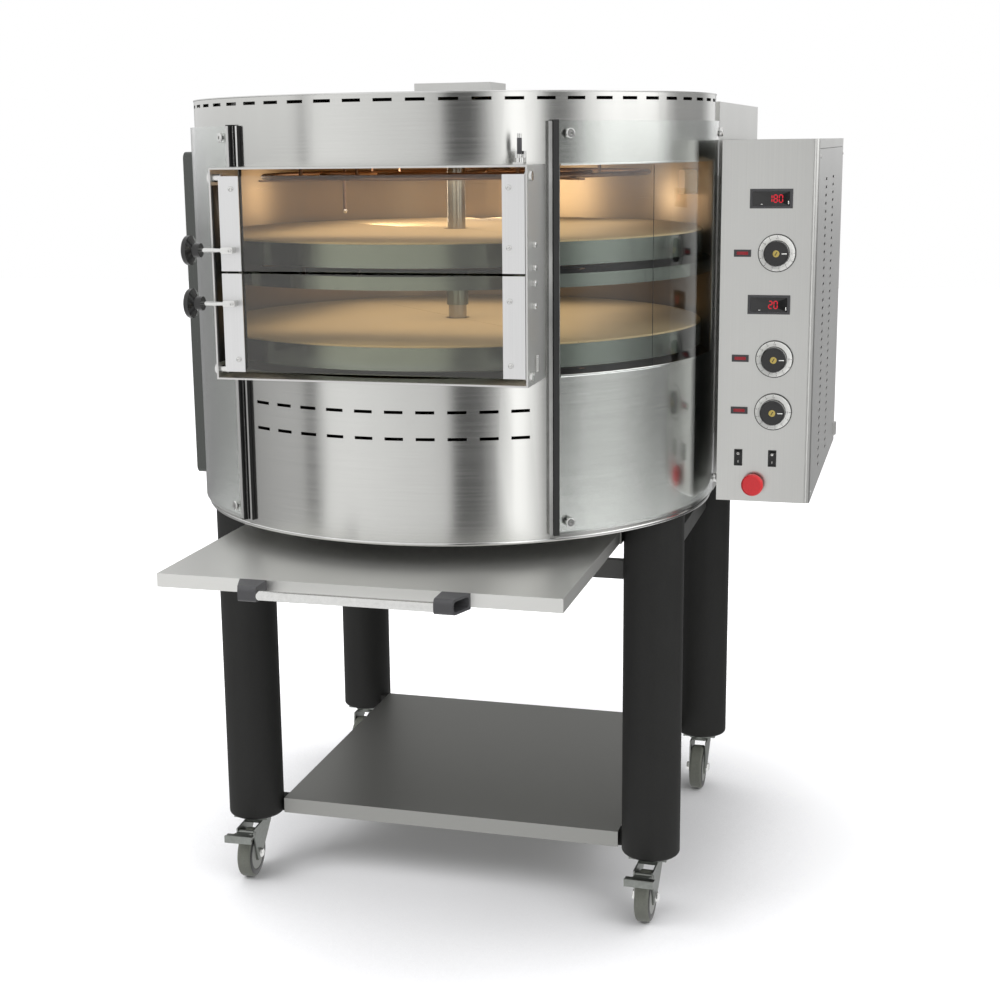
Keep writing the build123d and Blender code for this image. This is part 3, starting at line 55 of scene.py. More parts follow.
# %% [markdown]
# Everything round on this oven shares one upright axis, the turntable's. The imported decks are
# centred on it, so their box gives the axis. Most other places are measured from the boxes of
# the nodes, so that most pieces follow when a size changes in the model.

# %% Find the drum's axis
mm = 0.001
deck_low, deck_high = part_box("deck_pans")
axis_x = (deck_low[0] + deck_high[0]) / 2
axis_y = (deck_low[1] + deck_high[1]) / 2
axis = np.array([axis_x, axis_y, 0.0])
shell_low, shell_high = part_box("outer_shell")
drum_radius = (shell_high[0] - shell_low[0]) / 2
print("drum axis", axis, "radius", drum_radius)

# %% [markdown]
# The camera stands where the photograph was taken: about 3.3 m from the axis, a little to the
# right of the middle and just below the roof's height, looking slightly down. Its lens takes
# in about 34 degrees. The place is measured from the drum's axis, the three angles are
# the usual pan, tilt and roll, and the small shift is the crop of the photograph.

# %% Place the camera
camera_from_axis = np.array([0.923, -3.161, 1.4983])
camera_tilt, camera_roll, camera_pan = 78.103, 0.723, 15.884
camera_data = bpy.data.cameras.new("camera")
camera_data.sensor_width = 36.0
camera_data.lens = 59.64
camera_data.shift_x = 0.0327
camera_data.shift_y = -0.0090
camera = bpy.data.objects.new("camera", camera_data)
camera.location = axis + camera_from_axis
camera.rotation_euler = [math.radians(a) for a in (camera_tilt, camera_roll, camera_pan)]
scene.collection.objects.link(camera)
scene.camera = camera
print("camera at", tuple(camera.location))

# %% [markdown]
# Colours are written as the sRGB hex values that a paint chart or a colour picker gives.
# Blender's shaders count in linear light, so one function turns a hex value into linear
# numbers. A second small function adds one shader node with its settings and its links, and
# all the finishes below are built with it.

# %% Colour and node helpers
def tone(hex_colour):
    """Linear colour: c / 12.92 up to 0.04045, and ((c + 0.055) / 1.055) to the power 2.4 above."""
    srgb = np.array([int(hex_colour[i:i + 2], 16) for i in (1, 3, 5)]) / 255
    linear = np.where(srgb <= 0.04045, srgb / 12.92, ((srgb + 0.055) / 1.055) ** 2.4)
    return (*linear.tolist(), 1.0)


def add(tree, kind, inputs=None, **settings):
    """Adds one shader node; an input takes a value, or a link where it is given a socket."""
    node = tree.nodes.new("ShaderNode" + kind)
    for name, value in settings.items():
        setattr(node, name, value)
    for name, value in (inputs or {}).items():
        if isinstance(value, bpy.types.NodeSocket):
            tree.links.new(value, node.inputs[name])
        else:
            node.inputs[name].default_value = value
    return node


def finish(name, colour, **values):
    """A material with one principled shader, its constants set on the shader's own sockets."""
    material = bpy.data.materials.new(name)
    material.use_nodes = True
    shader = material.node_tree.nodes["Principled BSDF"]
    shader.inputs["Base Color"].default_value = tone(colour)
    for key, value in values.items():
        shader.inputs[key.replace("_", " ").title().replace("Ior", "IOR")].default_value = value
    return material, material.node_tree, shader


print("steel tone in linear light", tone("#C9C9C6"))

# %% [markdown]
# Stainless steel, grade 304, is sold brushed: a belt draws fine parallel scratches into it.
# The scratches blur a reflection across themselves and leave it sharp along themselves, and
# that is what makes the tall bright and dark bands on the drum. Each patch of steel needs
# to know which way its scratches run. The tangent handed to the shader is the cross product
# of the surface's normal and the grain, so the blur lies across the grain on any face. Where
# a face looks straight along the grain that product is zero and the face would turn black, so
# every grain leans a little.
# Real scratches are about 0.05 mm wide, far too fine for this picture, so the streaks that
# vary the tone are drawn about 2 mm wide and a few hundred long.

# %% Grain that runs round the drum or straight
streaks_per_metre = 420.0
streaks_per_radian = 2.0
streaks_along_a_metre = 3.0
grain_lean = 0.01


def around_axis(tree, place):
    """A place seen from the drum's axis: its offset, x, z, -y and the angle atan2(x, -y)."""
    offset = add(tree, "VectorMath", {0: place, 1: tuple(axis)}, operation="SUBTRACT").outputs[0]
    parts = add(tree, "SeparateXYZ", {0: offset})
    minus_y = add(tree, "Math", {0: parts.outputs["Y"], 1: -1.0}, operation="MULTIPLY").outputs[0]
    angle = add(tree, "Math", {0: parts.outputs["X"], 1: minus_y}, operation="ARCTAN2").outputs[0]
    return {"offset": offset, "x": parts.outputs["X"], "z": parts.outputs["Z"],
            "minus_y": minus_y, "angle": angle}


def round_grain(tree, place):
    """Streaks in (angle, distance from the axis, height), and the direction (-y, x, lean)."""
    seen = around_axis(tree, place)
    flat = add(tree, "VectorMath", {0: seen["offset"], 1: (1, 1, 0)}, operation="MULTIPLY")
    reach = add(tree, "VectorMath", {0: flat.outputs[0]}, operation="LENGTH")
    along = add(tree, "CombineXYZ", {"X": seen["angle"], "Y": reach.outputs["Value"],
                                     "Z": seen["z"]})
    scale = (streaks_per_radian, streaks_per_metre, streaks_per_metre)
    pattern = add(tree, "VectorMath", {0: along.outputs[0], 1: scale}, operation="MULTIPLY")
    direction = add(tree, "CombineXYZ", {"X": seen["minus_y"], "Y": seen["x"], "Z": grain_lean})
    return pattern, direction


def straight_grain(tree, place, grain):
    """Streaks stretched along the grain's longest share, and the grain itself as direction."""
    scale = tuple(streaks_along_a_metre if abs(share) > 0.5 else streaks_per_metre
                  for share in grain)
    pattern = add(tree, "VectorMath", {0: place, 1: scale}, operation="MULTIPLY")
    direction = add(tree, "CombineXYZ", dict(zip("XYZ", map(float, grain))))
    return pattern, direction


print("one streak in mm:", round(1 / streaks_per_metre / mm, 1), "wide,",
      round(1 / streaks_along_a_metre / mm), "long")

# %% Brushed stainless steel
def brushed(name, grain, colour="#D2D2CF", roughness=0.22, anisotropic=0.75, streak=0.04,
            shade=0.08, scratch=0.05, metallic=1.0):
    """Steel with a grain: "round", or a direction; streak is the spread of its roughness."""
    material, tree, shader = finish(name, colour, metallic=metallic, roughness=roughness,
                                    anisotropic=anisotropic)
    place = add(tree, "TexCoord").outputs["Object"]
    normal = add(tree, "NewGeometry").outputs["Normal"]
    if grain == "round":
        pattern, direction = round_grain(tree, place)
    else:
        pattern, direction = straight_grain(tree, place, grain)
    across = add(tree, "VectorMath", {0: normal, 1: direction.outputs[0]}, operation="CROSS_PRODUCT")
    tree.links.new(across.outputs[0], shader.inputs["Tangent"])
    lines = add(tree, "TexNoise", {"Vector": pattern.outputs[0], "Scale": 1.0, "Detail": 3.0,
                                   "Roughness": 0.65})
    cloud = add(tree, "TexNoise", {"Vector": place, "Scale": 5.0, "Detail": 2.0})
    rough = add(tree, "MapRange", {"Value": lines.outputs["Fac"], "From Min": 0.25, "From Max": 0.75,
                                   "To Min": roughness - streak, "To Max": roughness + streak})
    tree.links.new(rough.outputs["Result"], shader.inputs["Roughness"])
    wear = add(tree, "Math", {0: lines.outputs["Fac"], 1: cloud.outputs["Fac"]}, operation="MULTIPLY")
    share = add(tree, "MapRange", {"Value": wear.outputs[0], "From Min": 0.1, "From Max": 0.45})
    dark = tuple(c * (1 - shade) for c in tone(colour)[:3]) + (1.0,)
    mixed = add(tree, "Mix", {0: share.outputs["Result"], 6: dark, 7: tone(colour)},
                data_type="RGBA")
    tree.links.new(mixed.outputs[2], shader.inputs["Base Color"])
    bump = add(tree, "Bump", {"Height": lines.outputs["Fac"], "Strength": scratch, "Distance": 0.0002})
    tree.links.new(bump.outputs[0], shader.inputs["Normal"])
    return material


# The drum's sheet is rolled with its grain round it; flat covers keep theirs upright or level.
drum_steel = brushed("brushed_steel_round", "round")
panel_steel = brushed("brushed_steel_upright", (0.05, 0.05, 1), colour="#DADAD7", roughness=0.3,
                      anisotropic=0.4, streak=0.03)
side_steel = brushed("brushed_steel_side", (0.05, 1, 0.05), colour="#D8D8D6", roughness=0.36,
                     anisotropic=0.4, streak=0.03)
# The left cover's steel is far darker than the rest: painted shade for the dark reflections on that
# side.
painted_shade_cover_steel = brushed("brushed_steel_cover_painted_shade", (0.05, 0.05, 1), colour="#585A58", roughness=0.26,
                      anisotropic=0.4, streak=0.03)
tray_steel = brushed("brushed_steel_tray", (1, 0.02, 0.02), colour="#DEDEDB", roughness=0.45,
                     anisotropic=0.4, streak=0.01, shade=0.02, scratch=0.01)
# The shelf and its runners are darker than the tray: painted shade for the dim places they mirror under
# the drum.
painted_shade_shelf_steel = brushed("brushed_steel_shelf_painted_shade", (1, 0.02, 0.02), colour="#9E9E9B", roughness=0.42,
                      anisotropic=0.4, streak=0.01, shade=0.02, scratch=0.01)
frame_steel = brushed("satin_steel_frame", (0.05, 0.05, 1), colour="#DADAD8", roughness=0.45,
                      anisotropic=0.3, streak=0.03)
band_steel = brushed("satin_steel_bands", (0.05, 0.05, 1), colour="#E8E8E8", roughness=0.42,
                     anisotropic=0.3, streak=0.02)
# Hot stainless steel takes a straw brown tint.
liner_steel = brushed("heat_tinted_liner", "round", colour="#988263", roughness=0.3,
                      anisotropic=0.5, streak=0.03, shade=0.15, scratch=0.0, metallic=0.8)
# The decks' pans and the heat shield are grey green and darker than plain steel: partly heat tint,
# partly painted shade for the dim reflections they show.
tint_and_painted_shade_pan_steel = brushed("heat_tint_and_painted_shade_pan", "round", colour="#868E85", roughness=0.22,
                    anisotropic=0.4, streak=0.02, shade=0.06, scratch=0.0)
steels = (drum_steel, panel_steel, side_steel, painted_shade_cover_steel, tray_steel, painted_shade_shelf_steel, frame_steel,
          band_steel, liner_steel, tint_and_painted_shade_pan_steel)
print("steel finishes:", [m.name for m in steels])

# %% [markdown]
# Most other finishes have an even body with a fine grain of their own: powder coat has an
# orange-peel skin with waves of 1 to 2 mm, cast parts are gritty, zinc plating is patchy, and
# moulded plastic has a light haze. One function makes them all: a noise at the real grain's
# size lifts the surface, mostly by a few hundredths of a millimetre, and a slow noise moves the
# roughness. Both together move the tone a little.

# %% Finishes with a fine even grain
def grained(name, colour, roughness, grain_mm, shade=0.12, depth_mm=0.02, haze=0.05, **values):
    """An even finish; grain_mm is the grain's width, and depth_mm the height of its bump."""
    material, tree, shader = finish(name, colour, roughness=roughness, **values)
    place = add(tree, "TexCoord").outputs["Object"]
    grain = add(tree, "TexNoise", {"Vector": place, "Scale": 1.0 / (2 * grain_mm * mm),
                                   "Detail": 2.0, "Roughness": 0.6})
    patch = add(tree, "TexNoise", {"Vector": place, "Scale": 9.0, "Detail": 3.0})
    level = add(tree, "Math", {0: grain.outputs["Fac"], 1: patch.outputs["Fac"]}, operation="ADD")
    share = add(tree, "MapRange", {"Value": level.outputs[0], "From Min": 0.7, "From Max": 1.3})
    dark = tuple(c * (1 - shade) for c in tone(colour)[:3]) + (1.0,)
    light = tuple(min(1.0, c * (1 + shade)) for c in tone(colour)[:3]) + (1.0,)
    mixed = add(tree, "Mix", {0: share.outputs["Result"], 6: dark, 7: light}, data_type="RGBA")
    tree.links.new(mixed.outputs[2], shader.inputs["Base Color"])
    rough = add(tree, "MapRange", {"Value": patch.outputs["Fac"], "From Min": 0.3, "From Max": 0.7,
                                   "To Min": max(0.03, roughness - haze), "To Max": roughness + haze})
    tree.links.new(rough.outputs["Result"], shader.inputs["Roughness"])
    bump = add(tree, "Bump", {"Height": grain.outputs["Fac"], "Strength": 0.5,
                              "Distance": depth_mm * mm})
    tree.links.new(bump.outputs[0], shader.inputs["Normal"])
    return material


# Powder coat on the stand: dull, with the soft waves of paint that was melted on.
black_coat = grained("black_powder_coat", "#242423", 0.55, 1.2, depth_mm=0.05,
                     specular_ior_level=0.2)
grey_coat = grained("grey_powder_coat", "#3A3A38", 0.5, 1.2, depth_mm=0.05)
# Metals: patchy zinc, polished and turned steel, turned brass, and gritty cast iron.
castor_zinc = grained("dull_zinc_plate", "#8E918D", 0.4, 3.0, metallic=1.0)
bright_steel = grained("bright_steel", "#D8D8D6", 0.16, 4.0, shade=0.05, metallic=1.0)
turned_steel = grained("turned_steel", "#B0ACA2", 0.25, 2.0, depth_mm=0.004, metallic=1.0)
brass = grained("turned_brass", "#C9B46A", 0.3, 1.5, shade=0.08, metallic=1.0)
cast_iron = grained("cast_iron", "#3C3B3A", 0.6, 1.5, depth_mm=0.15, metallic=0.6)
# Moulded goods: dull rubber, glossy phenolic for knobs and display windows, hazy plastics.
tyre_rubber = grained("grey_rubber", "#65675F", 0.62, 1.5, depth_mm=0.03)
seal_rubber = grained("black_rubber", "#1C1C1C", 0.42, 1.0)
phenolic = grained("black_phenolic", "#121212", 0.2, 3.0, shade=0.1, coat_weight=0.3)
moulded_black = grained("black_moulded_plastic", "#191919", 0.42, 0.6)
moulded_grey = grained("grey_moulded_plastic", "#3D3D3F", 0.4, 0.6)
rim_grey = grained("grey_wheel_centre", "#8B8C88", 0.45, 0.8)
red_plastic = grained("red_moulded_plastic", "#C8232A", 0.32, 1.5, shade=0.08)
# Printed inks, then the dry finishes inside: fired clay, mineral wool and oxidised sheaths.
white_ink = grained("white_ink", "#E6E6E2", 0.5, 0.5, shade=0.03)
black_ink = grained("black_ink", "#1B1B1B", 0.5, 0.5, shade=0.05)
stone = grained("fired_clay_stone", "#C2AA80", 0.85, 1.6, shade=0.06, depth_mm=0.01)
wool = grained("mineral_wool", "#A59B7C", 0.95, 2.5, shade=0.25, depth_mm=0.8)
sheath = grained("heated_sheath", "#8C6E58", 0.38, 3.0, shade=0.2, depth_mm=0.01, metallic=1.0)
print("even finishes made:", len(bpy.data.materials))

# %% [markdown]
# The doors and the side panes are clear heat-proof glass. A refracting shader shows the
# chamber and carries the reflections, and for lamp rays alone a transparent shader takes
# over, because real glass lets lamplight through and a refracting surface would block it.
# The flat doors are slightly warm and the curved panes are close to neutral.

# %% Glass
def clear_glass(name, colour, roughness=0.0):
    """Glass that refracts for sight and is transparent to the lamps' rays."""
    material, tree, shader = finish(name, colour, roughness=roughness, ior=1.5,
                                    transmission_weight=1.0)
    output = tree.nodes["Material Output"]
    through = add(tree, "BsdfTransparent", {"Color": tone(colour)})
    path = add(tree, "LightPath")
    mixed = add(tree, "MixShader", {0: path.outputs["Is Shadow Ray"], 1: shader.outputs[0],
                                    2: through.outputs[0]})
    tree.links.new(mixed.outputs[0], output.inputs["Surface"])
    return material


door_glass = clear_glass("door_glass", "#F3F0E6")
pane_glass = clear_glass("curved_pane_glass", "#FBFDFC")


def glowing(name, colour, glow, strength, roughness=0.3):
    """A lit surface: a dark body whose own colour shines at a set strength."""
    material, tree, shader = finish(name, colour, roughness=roughness)
    shader.inputs["Emission Color"].default_value = tone(glow)
    shader.inputs["Emission Strength"].default_value = strength
    return material


lit_red = glowing("lit_red_segment", "#4A0508", "#E0102E", 0.85)
indicator_red = glowing("indicator_lens", "#7A1A22", "#8E1420", 0.25)
lamp_glow = glowing("lamp_globe", "#A98454", "#FFD9A6", 0.22)
print("glass and lights made")

# %% [markdown]
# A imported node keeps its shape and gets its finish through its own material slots. The table
# says which finish each node has on the real oven.

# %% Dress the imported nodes
finishes = {
    drum_steel: ["outer_shell", "roof_panel"],
    panel_steel: ["control_panel", "cabinet_shell", "rear_casing", "rear_access_panel",
                  "base_plate"],
    painted_shade_cover_steel: ["left_cover"],
    side_steel: ["cabinet_side_cover"],
    tray_steel: ["pull_out_shelf"],
    painted_shade_shelf_steel: ["lower_shelf", "shelf_runners"],
    frame_steel: ["door_frame", "steam_vent"],
    band_steel: ["upper_door_bands", "lower_door_bands"],
    liner_steel: ["chamber_liner"],
    tint_and_painted_shade_pan_steel: ["deck_pans", "middle_heat_shield"],
    stone: ["deck_stones"],
    wool: ["insulation"],
    sheath: ["heating_elements"],
    pane_glass: ["side_glass_panes"],
    door_glass: ["upper_door_glass", "lower_door_glass"],
    seal_rubber: ["glass_gaskets"],
    bright_steel: ["cap_bolts", "handle_tube", "upper_handle_rod", "lower_handle_rod"],
    turned_steel: ["turntable_shaft", "motor_pinion", "shaft_bearings"],
    cast_iron: ["driven_gear", "gear_motor"],
    black_coat: ["legs"],
    grey_coat: ["stand_rails"],
    castor_zinc: ["castor_plates", "castor_fork_front_left", "castor_fork_front_right",
                  "castor_fork_rear_left", "castor_fork_rear_right", "brake_pedal_front_left",
                  "brake_pedal_front_right"],
    tyre_rubber: ["castor_wheel_front_left", "castor_wheel_front_right", "castor_wheel_rear_left",
                  "castor_wheel_rear_right"],
    phenolic: ["upper_handle_knob", "lower_handle_knob", "dial_knob_1", "dial_knob_2",
               "dial_knob_3"],
    moulded_grey: ["handle_ends", "panel_displays"],
    moulded_black: ["panel_fittings", "rocker_switch_left", "rocker_switch_right"],
    red_plastic: ["emergency_button"],
    lamp_glow: ["oven_lamp"],
}
dressed = set()
for material, names in finishes.items():
    for name in names:
        for material_slot in frame["nodes"][name].material_slots:
            material_slot.material = material
        dressed.add(name)
print("nodes dressed:", len(dressed), "left plain:", sorted(set(frame["nodes"]) - dressed))

# %% [markdown]
# The studio is a pale floor, a white surround and a round wall that shows only in reflections
# and through glass. The wall is a ramp of brightness by direction: soft boxes give the
# blown-out stripes on the drum, and black flags give the dark ones. Direction 0 is the front
# and grows to the right.
# One ramp serves the upper part of the drum and the other the lower part, which mirrors the
# wall's foot.

# %% Build the studio
wall_radius, wall_foot, wall_top = 3.9, -1.6, 3.2
ramps_cross_from, ramps_cross_to = 1.15, 1.6
brightest_level = 2.0
upper_ramp = [(-180, 0.22), (-150, 0.30), (-135, 0.80), (-109, 1.00), (-75, 1.08), (-50, 1.10),
              (-47, 0.56), (-44, 1.18), (-20, 1.00), (0, 0.88), (9.5, 0.74), (12.8, 0.07),
              (24, 0.10), (29, 0.80), (35, 1.65), (40, 1.85), (46, 1.55), (50, 1.00), (53, 0.18),
              (60, 0.24), (64, 0.60), (69, 1.20), (78, 1.95), (104, 2.0), (114, 0.80), (121, 0.46),
              (130, 0.50), (144, 0.42), (156, 0.95), (168, 0.95), (175, 0.30), (180, 0.22)]
lower_ramp = [(-180, 0.20), (-135, 0.30), (-108, 0.35), (-80, 0.43), (-62, 0.56), (-52, 0.58),
              (-49, 0.26), (-45, 0.26), (-41, 1.06), (-28, 1.06), (-6, 0.93), (11.5, 0.84),
              (14.5, 0.12), (22, 0.13), (27, 0.24), (32, 0.60), (38, 1.80), (42, 1.60), (50, 0.85),
              (53, 0.18), (60, 0.24), (70, 0.62), (82, 0.66), (96, 0.40), (104, 0.26), (113, 0.28),
              (123, 0.13), (140, 0.06), (156, 0.50), (168, 0.50), (180, 0.20)]


def studio_wall():
    """An upright tube: each point is the axis + radius * (sin a, -cos a), at two heights."""
    a = np.radians(np.linspace(-180, 180, 145))
    ring = np.stack([wall_radius * np.sin(a), -wall_radius * np.cos(a)], axis=1) + axis[:2]
    low = np.column_stack([ring, np.full(len(a), wall_foot)])
    high = np.column_stack([ring, np.full(len(a), wall_top)])
    i = np.arange(len(a) - 1)
    faces = np.stack([i, i + 1, i + 1 + len(a), i + len(a)], axis=1)
    mesh = bpy.data.meshes.new("studio_wall")
    mesh.from_pydata(np.concatenate([low, high]).tolist(), [], faces.tolist())
    return bpy.data.objects.new("studio_wall", mesh)


def wall_light():
    """Emission whose strength follows the lower ramp, then the upper one, by height."""
    material, tree, shader = finish("studio_wall_light", "#000000")
    seen = around_axis(tree, add(tree, "TexCoord").outputs["Object"])
    turn = add(tree, "MapRange", {"Value": seen["angle"], "From Min": -math.pi,
                                  "From Max": math.pi})
    levels = []
    for stops in (lower_ramp, upper_ramp):
        ramp = add(tree, "ValToRGB", {"Fac": turn.outputs["Result"]})
        elements = ramp.color_ramp.elements
        for _ in range(len(stops) - 2):
            elements.new(0.5)
        for element, (degrees, level) in zip(elements, stops):
            element.position = (degrees + 180) / 360
            element.color = (*[level / brightest_level] * 3, 1.0)
        levels.append(ramp.outputs["Color"])
    height = add(tree, "MapRange", {"Value": seen["z"], "From Min": ramps_cross_from,
                                    "From Max": ramps_cross_to})
    both = add(tree, "Mix", {0: height.outputs["Result"], 6: levels[0], 7: levels[1]},
               data_type="RGBA")
    light = add(tree, "Emission", {"Color": both.outputs[2], "Strength": brightest_level})
    tree.links.new(light.outputs[0], tree.nodes["Material Output"].inputs["Surface"])
    return material


wall = studio_wall()
wall.data.materials.append(wall_light())
scene.collection.objects.link(wall)
for unseen in ("camera", "diffuse", "shadow", "volume_scatter"):
    setattr(wall, "visible_" + unseen, False)
print("studio wall radius", wall_radius, "m")

# %% [markdown]
# The photograph's floor is white paper that fades into the surround. It is dark only where the
# stand keeps the light away, so its lift follows how open the floor is at each place: an
# ambient occlusion node measures that within a little over a metre.

# %% Lay the floor
def looked_at(tree):
    """1 for rays that look (camera, through glass, mirrored), and 0 for rays that gather light."""
    path = add(tree, "LightPath").outputs
    direct = add(tree, "Math", {0: path["Is Camera Ray"], 1: path["Is Transmission Ray"]},
                 operation="MAXIMUM")
    either = add(tree, "Math", {0: direct.outputs[0], 1: path["Is Glossy Ray"]},
                 operation="MAXIMUM")
    return either.outputs[0]


def white_floor(shaded_lift=0.0, open_lift=0.7, reach=1.15, falloff=3.2):
    """White paper; the camera sees it lifted by a mix of two levels, openness to a power."""
    material, tree, shader = finish("white_paper", "#DCDCDE", roughness=0.9)
    open_share = add(tree, "AmbientOcclusion", {"Distance": reach}, samples=12)
    power = add(tree, "Math", {0: open_share.outputs["AO"], 1: falloff}, operation="POWER")
    level = add(tree, "MapRange", {"Value": power.outputs[0], "To Min": shaded_lift,
                                   "To Max": open_lift})
    lift = add(tree, "Math", {0: looked_at(tree), 1: level.outputs["Result"]},
               operation="MULTIPLY")
    glow = add(tree, "Emission", {"Color": (1, 1, 1, 1), "Strength": lift.outputs[0]})
    both = add(tree, "AddShader", {0: shader.outputs[0], 1: glow.outputs[0]})
    tree.links.new(both.outputs[0], tree.nodes["Material Output"].inputs["Surface"])
    return material


floor_half = 14.0
floor_mesh = bpy.data.meshes.new("floor")
floor_mesh.from_pydata([(-floor_half, -floor_half, 0), (floor_half, -floor_half, 0),
                        (floor_half, floor_half, 0), (-floor_half, floor_half, 0)],
                       [], [(0, 1, 2, 3)])
floor = bpy.data.objects.new("floor", floor_mesh)
floor.data.materials.append(white_floor())
floor.visible_glossy = False
scene.collection.objects.link(floor)
print("floor", 2 * floor_half, "m across")

# %% [markdown]
# The surround is even white. It looks fully white, but it lights the oven at a little over
# half of that, so that the lamps still model the round forms.

# %% Light the surround
surround_lights, surround_looks = 0.55, 1.0
world = bpy.data.worlds.new("surround")
world.use_nodes = True
scene.world = world
tree = world.node_tree
level = add(tree, "MapRange", {"Value": looked_at(tree), "To Min": surround_lights,
                               "To Max": surround_looks})
tree.links.new(level.outputs["Result"], tree.nodes["Background"].inputs["Strength"])
tree.nodes["Background"].inputs["Color"].default_value = (1.0, 1.0, 1.0, 1.0)
print("the surround lights at", surround_lights, "and looks like", surround_looks)

# %% [markdown]
# Three soft boxes hang over the oven: the key at the front left, a weaker fill at the front
# right, and a wide one straight above. Metal doesn't mirror them, because the studio wall
# already gives the drum its stripes.

# %% Hang the lamps
def soft_lamp(name, place, aim, size, watts, colour="#FFFFFF", in_metal=False):
    """A square area lamp at a place, turned to its aim; in_metal lets reflections show it."""
    data = bpy.data.lights.new(name, "AREA")
    data.size = size
    data.energy = watts
    data.color = tone(colour)[:3]
    lamp = bpy.data.objects.new(name, data)
    lamp.location = axis + np.array(place)
    direction = Vector(np.array(aim) - np.array(place))
    lamp.rotation_euler = direction.to_track_quat("-Z", "Y").to_euler()
    lamp.visible_camera = lamp.visible_transmission = False
    lamp.visible_glossy = in_metal
    scene.collection.objects.link(lamp)
    return lamp


soft_lamp("key_lamp", (-2.6, -2.4, 3.4), (0, 0, 0.9), 2.4, 120)
soft_lamp("fill_lamp", (3.0, -1.6, 3.0), (0, 0, 0.8), 2.4, 70)
soft_lamp("top_lamp", (0.0, 0.2, 4.4), (0, 0, 0.0), 3.6, 120)
print("studio lamps:", len(bpy.data.lights))

# %% [markdown]
# The oven's own lamp stands at the back right of the chamber, and its warm light on the tinted
# liner looks golden. In a real chamber that light bounces from wall to wall until it is even,
# so a wide weak lamp under each ceiling stands for the bounces. The bright patches on the
# chamber's wall are mirror images: each small lamp hangs where a sight line goes on after it.

# %% Light the chamber
warm = "#FFF0DE"
soft_lamp("chamber_bounce_upper", (0.0, 0.0, 1.425), (0.001, 0, 1.0), 0.62, 1.5, warm, True)
soft_lamp("chamber_bounce_lower", (0.0, 0.0, 1.245), (0.001, 0, 1.0), 0.62, 1.2, warm, True)
soft_lamp("chamber_patch_rear", (-0.19, 0.11, 1.378), (0.12, 0.48, 1.39), 0.14, 0.65, warm, True)
soft_lamp("chamber_patch_left", (-0.08, 0.43, 1.382), (-0.483, 0.115, 1.394), 0.09, 0.2, warm, True)
soft_lamp("chamber_patch_right", (-0.05, 0.45, 1.37), (0.393, 0.303, 1.386), 0.06, 0.14, warm, True)
print("all lamps:", len(bpy.data.lights))

# %% [markdown]
# The small pieces are built from numbers. A grid of points becomes four-sided faces, and the
# forms below are turned, cut from an outline, or carried round the drum. Points are written in
# millimetres from the drum's axis: x to the right, y to the back, z up from the floor.

# %% Helpers for new pieces
def grid_faces(rows, columns):
    """Four-sided faces between the rows of a grid whose last column meets its first."""
    index = np.arange(rows * columns).reshape(rows, columns)
    ahead = np.roll(index, -1, axis=1)
    return np.stack([index[:-1], ahead[:-1], ahead[1:], index[1:]], axis=2).reshape(-1, 4)


def skinned(rings):
    """One skin over a stack of rings, closed at both ends by a row of points at their middles."""
    rings = np.array(rings, dtype=float)
    ends = [np.repeat(ring.mean(axis=0)[None], len(ring), axis=0) for ring in (rings[0], rings[-1])]
    rings = np.concatenate([ends[0][None], rings, ends[1][None]])
    return rings.reshape(-1, 3), grid_faces(*rings.shape[:2])


def turned(profile, steps=32):
    """A turned form about local z: (r cos a, r sin a, h) for each (r, h) of the profile."""
    a = np.linspace(0, 2 * np.pi, steps, endpoint=False)
    rings = [np.column_stack([r * np.cos(a), r * np.sin(a), np.full(steps, h)]) for r, h in profile]
    return skinned(rings)


def rounded(width, height, corner, steps=5):
    """A rectangle's outline with round corners: corner centre + corner * (cos a, sin a)."""
    a = np.linspace(0, np.pi / 2, steps)
    x, y = width / 2 - corner, height / 2 - corner
    parts = [np.column_stack([sx * x + corner * np.cos(a + turn), sy * y + corner * np.sin(a + turn)])
             for sx, sy, turn in ((1, 1, 0), (-1, 1, np.pi / 2), (-1, -1, np.pi), (1, -1, 1.5 * np.pi))]
    return np.concatenate(parts)


def plate(outline, low, high, bevel=0.15):
    """A plate over an outline about its middle: inset rings from z low to z high."""
    half = np.abs(outline).max(axis=0)
    steps = ((0.0, low), (0.0, high - bevel), (0.3 * bevel, high - 0.3 * bevel), (bevel, high))
    return skinned([np.column_stack([outline * (half - inset) / half, np.full(len(outline), z)])
                    for inset, z in steps])


def bent(section, start, end, steps=2):
    """A section of (radius, z) carried round the drum: (r sin a, -r cos a, z), in degrees."""
    r, z = np.array(section, dtype=float).T
    return skinned([np.column_stack([r * np.sin(a), -r * np.cos(a), z])
                    for a in np.radians(np.linspace(start, end, steps))])


def facing(shape, direction, spin=0.0):
    """Turns a shape so that its local z looks along a direction and its local y stays upright."""
    points, faces = shape
    turn = math.radians(spin)
    cos, sin = math.cos(turn), math.sin(turn)
    points = points @ np.array([[cos, sin, 0], [-sin, cos, 0], [0, 0, 1]])
    z = np.array(direction, dtype=float)
    z /= np.linalg.norm(z)
    x = np.cross((0, 0, 1), z)
    x /= np.linalg.norm(x)
    return points @ np.array([x, np.cross(z, x), z]), faces


def joined(shapes):
    """Several shapes as one set of points and faces."""
    starts = np.cumsum([0] + [len(points) for points, faces in shapes[:-1]])
    return (np.concatenate([points for points, faces in shapes]),
            np.concatenate([faces + start for (points, faces), start in zip(shapes, starts)]))


def copies(shape, spots):
    """The same shape at several spots."""
    return joined([(shape[0] + np.array(spot, dtype=float), shape[1]) for spot in spots])


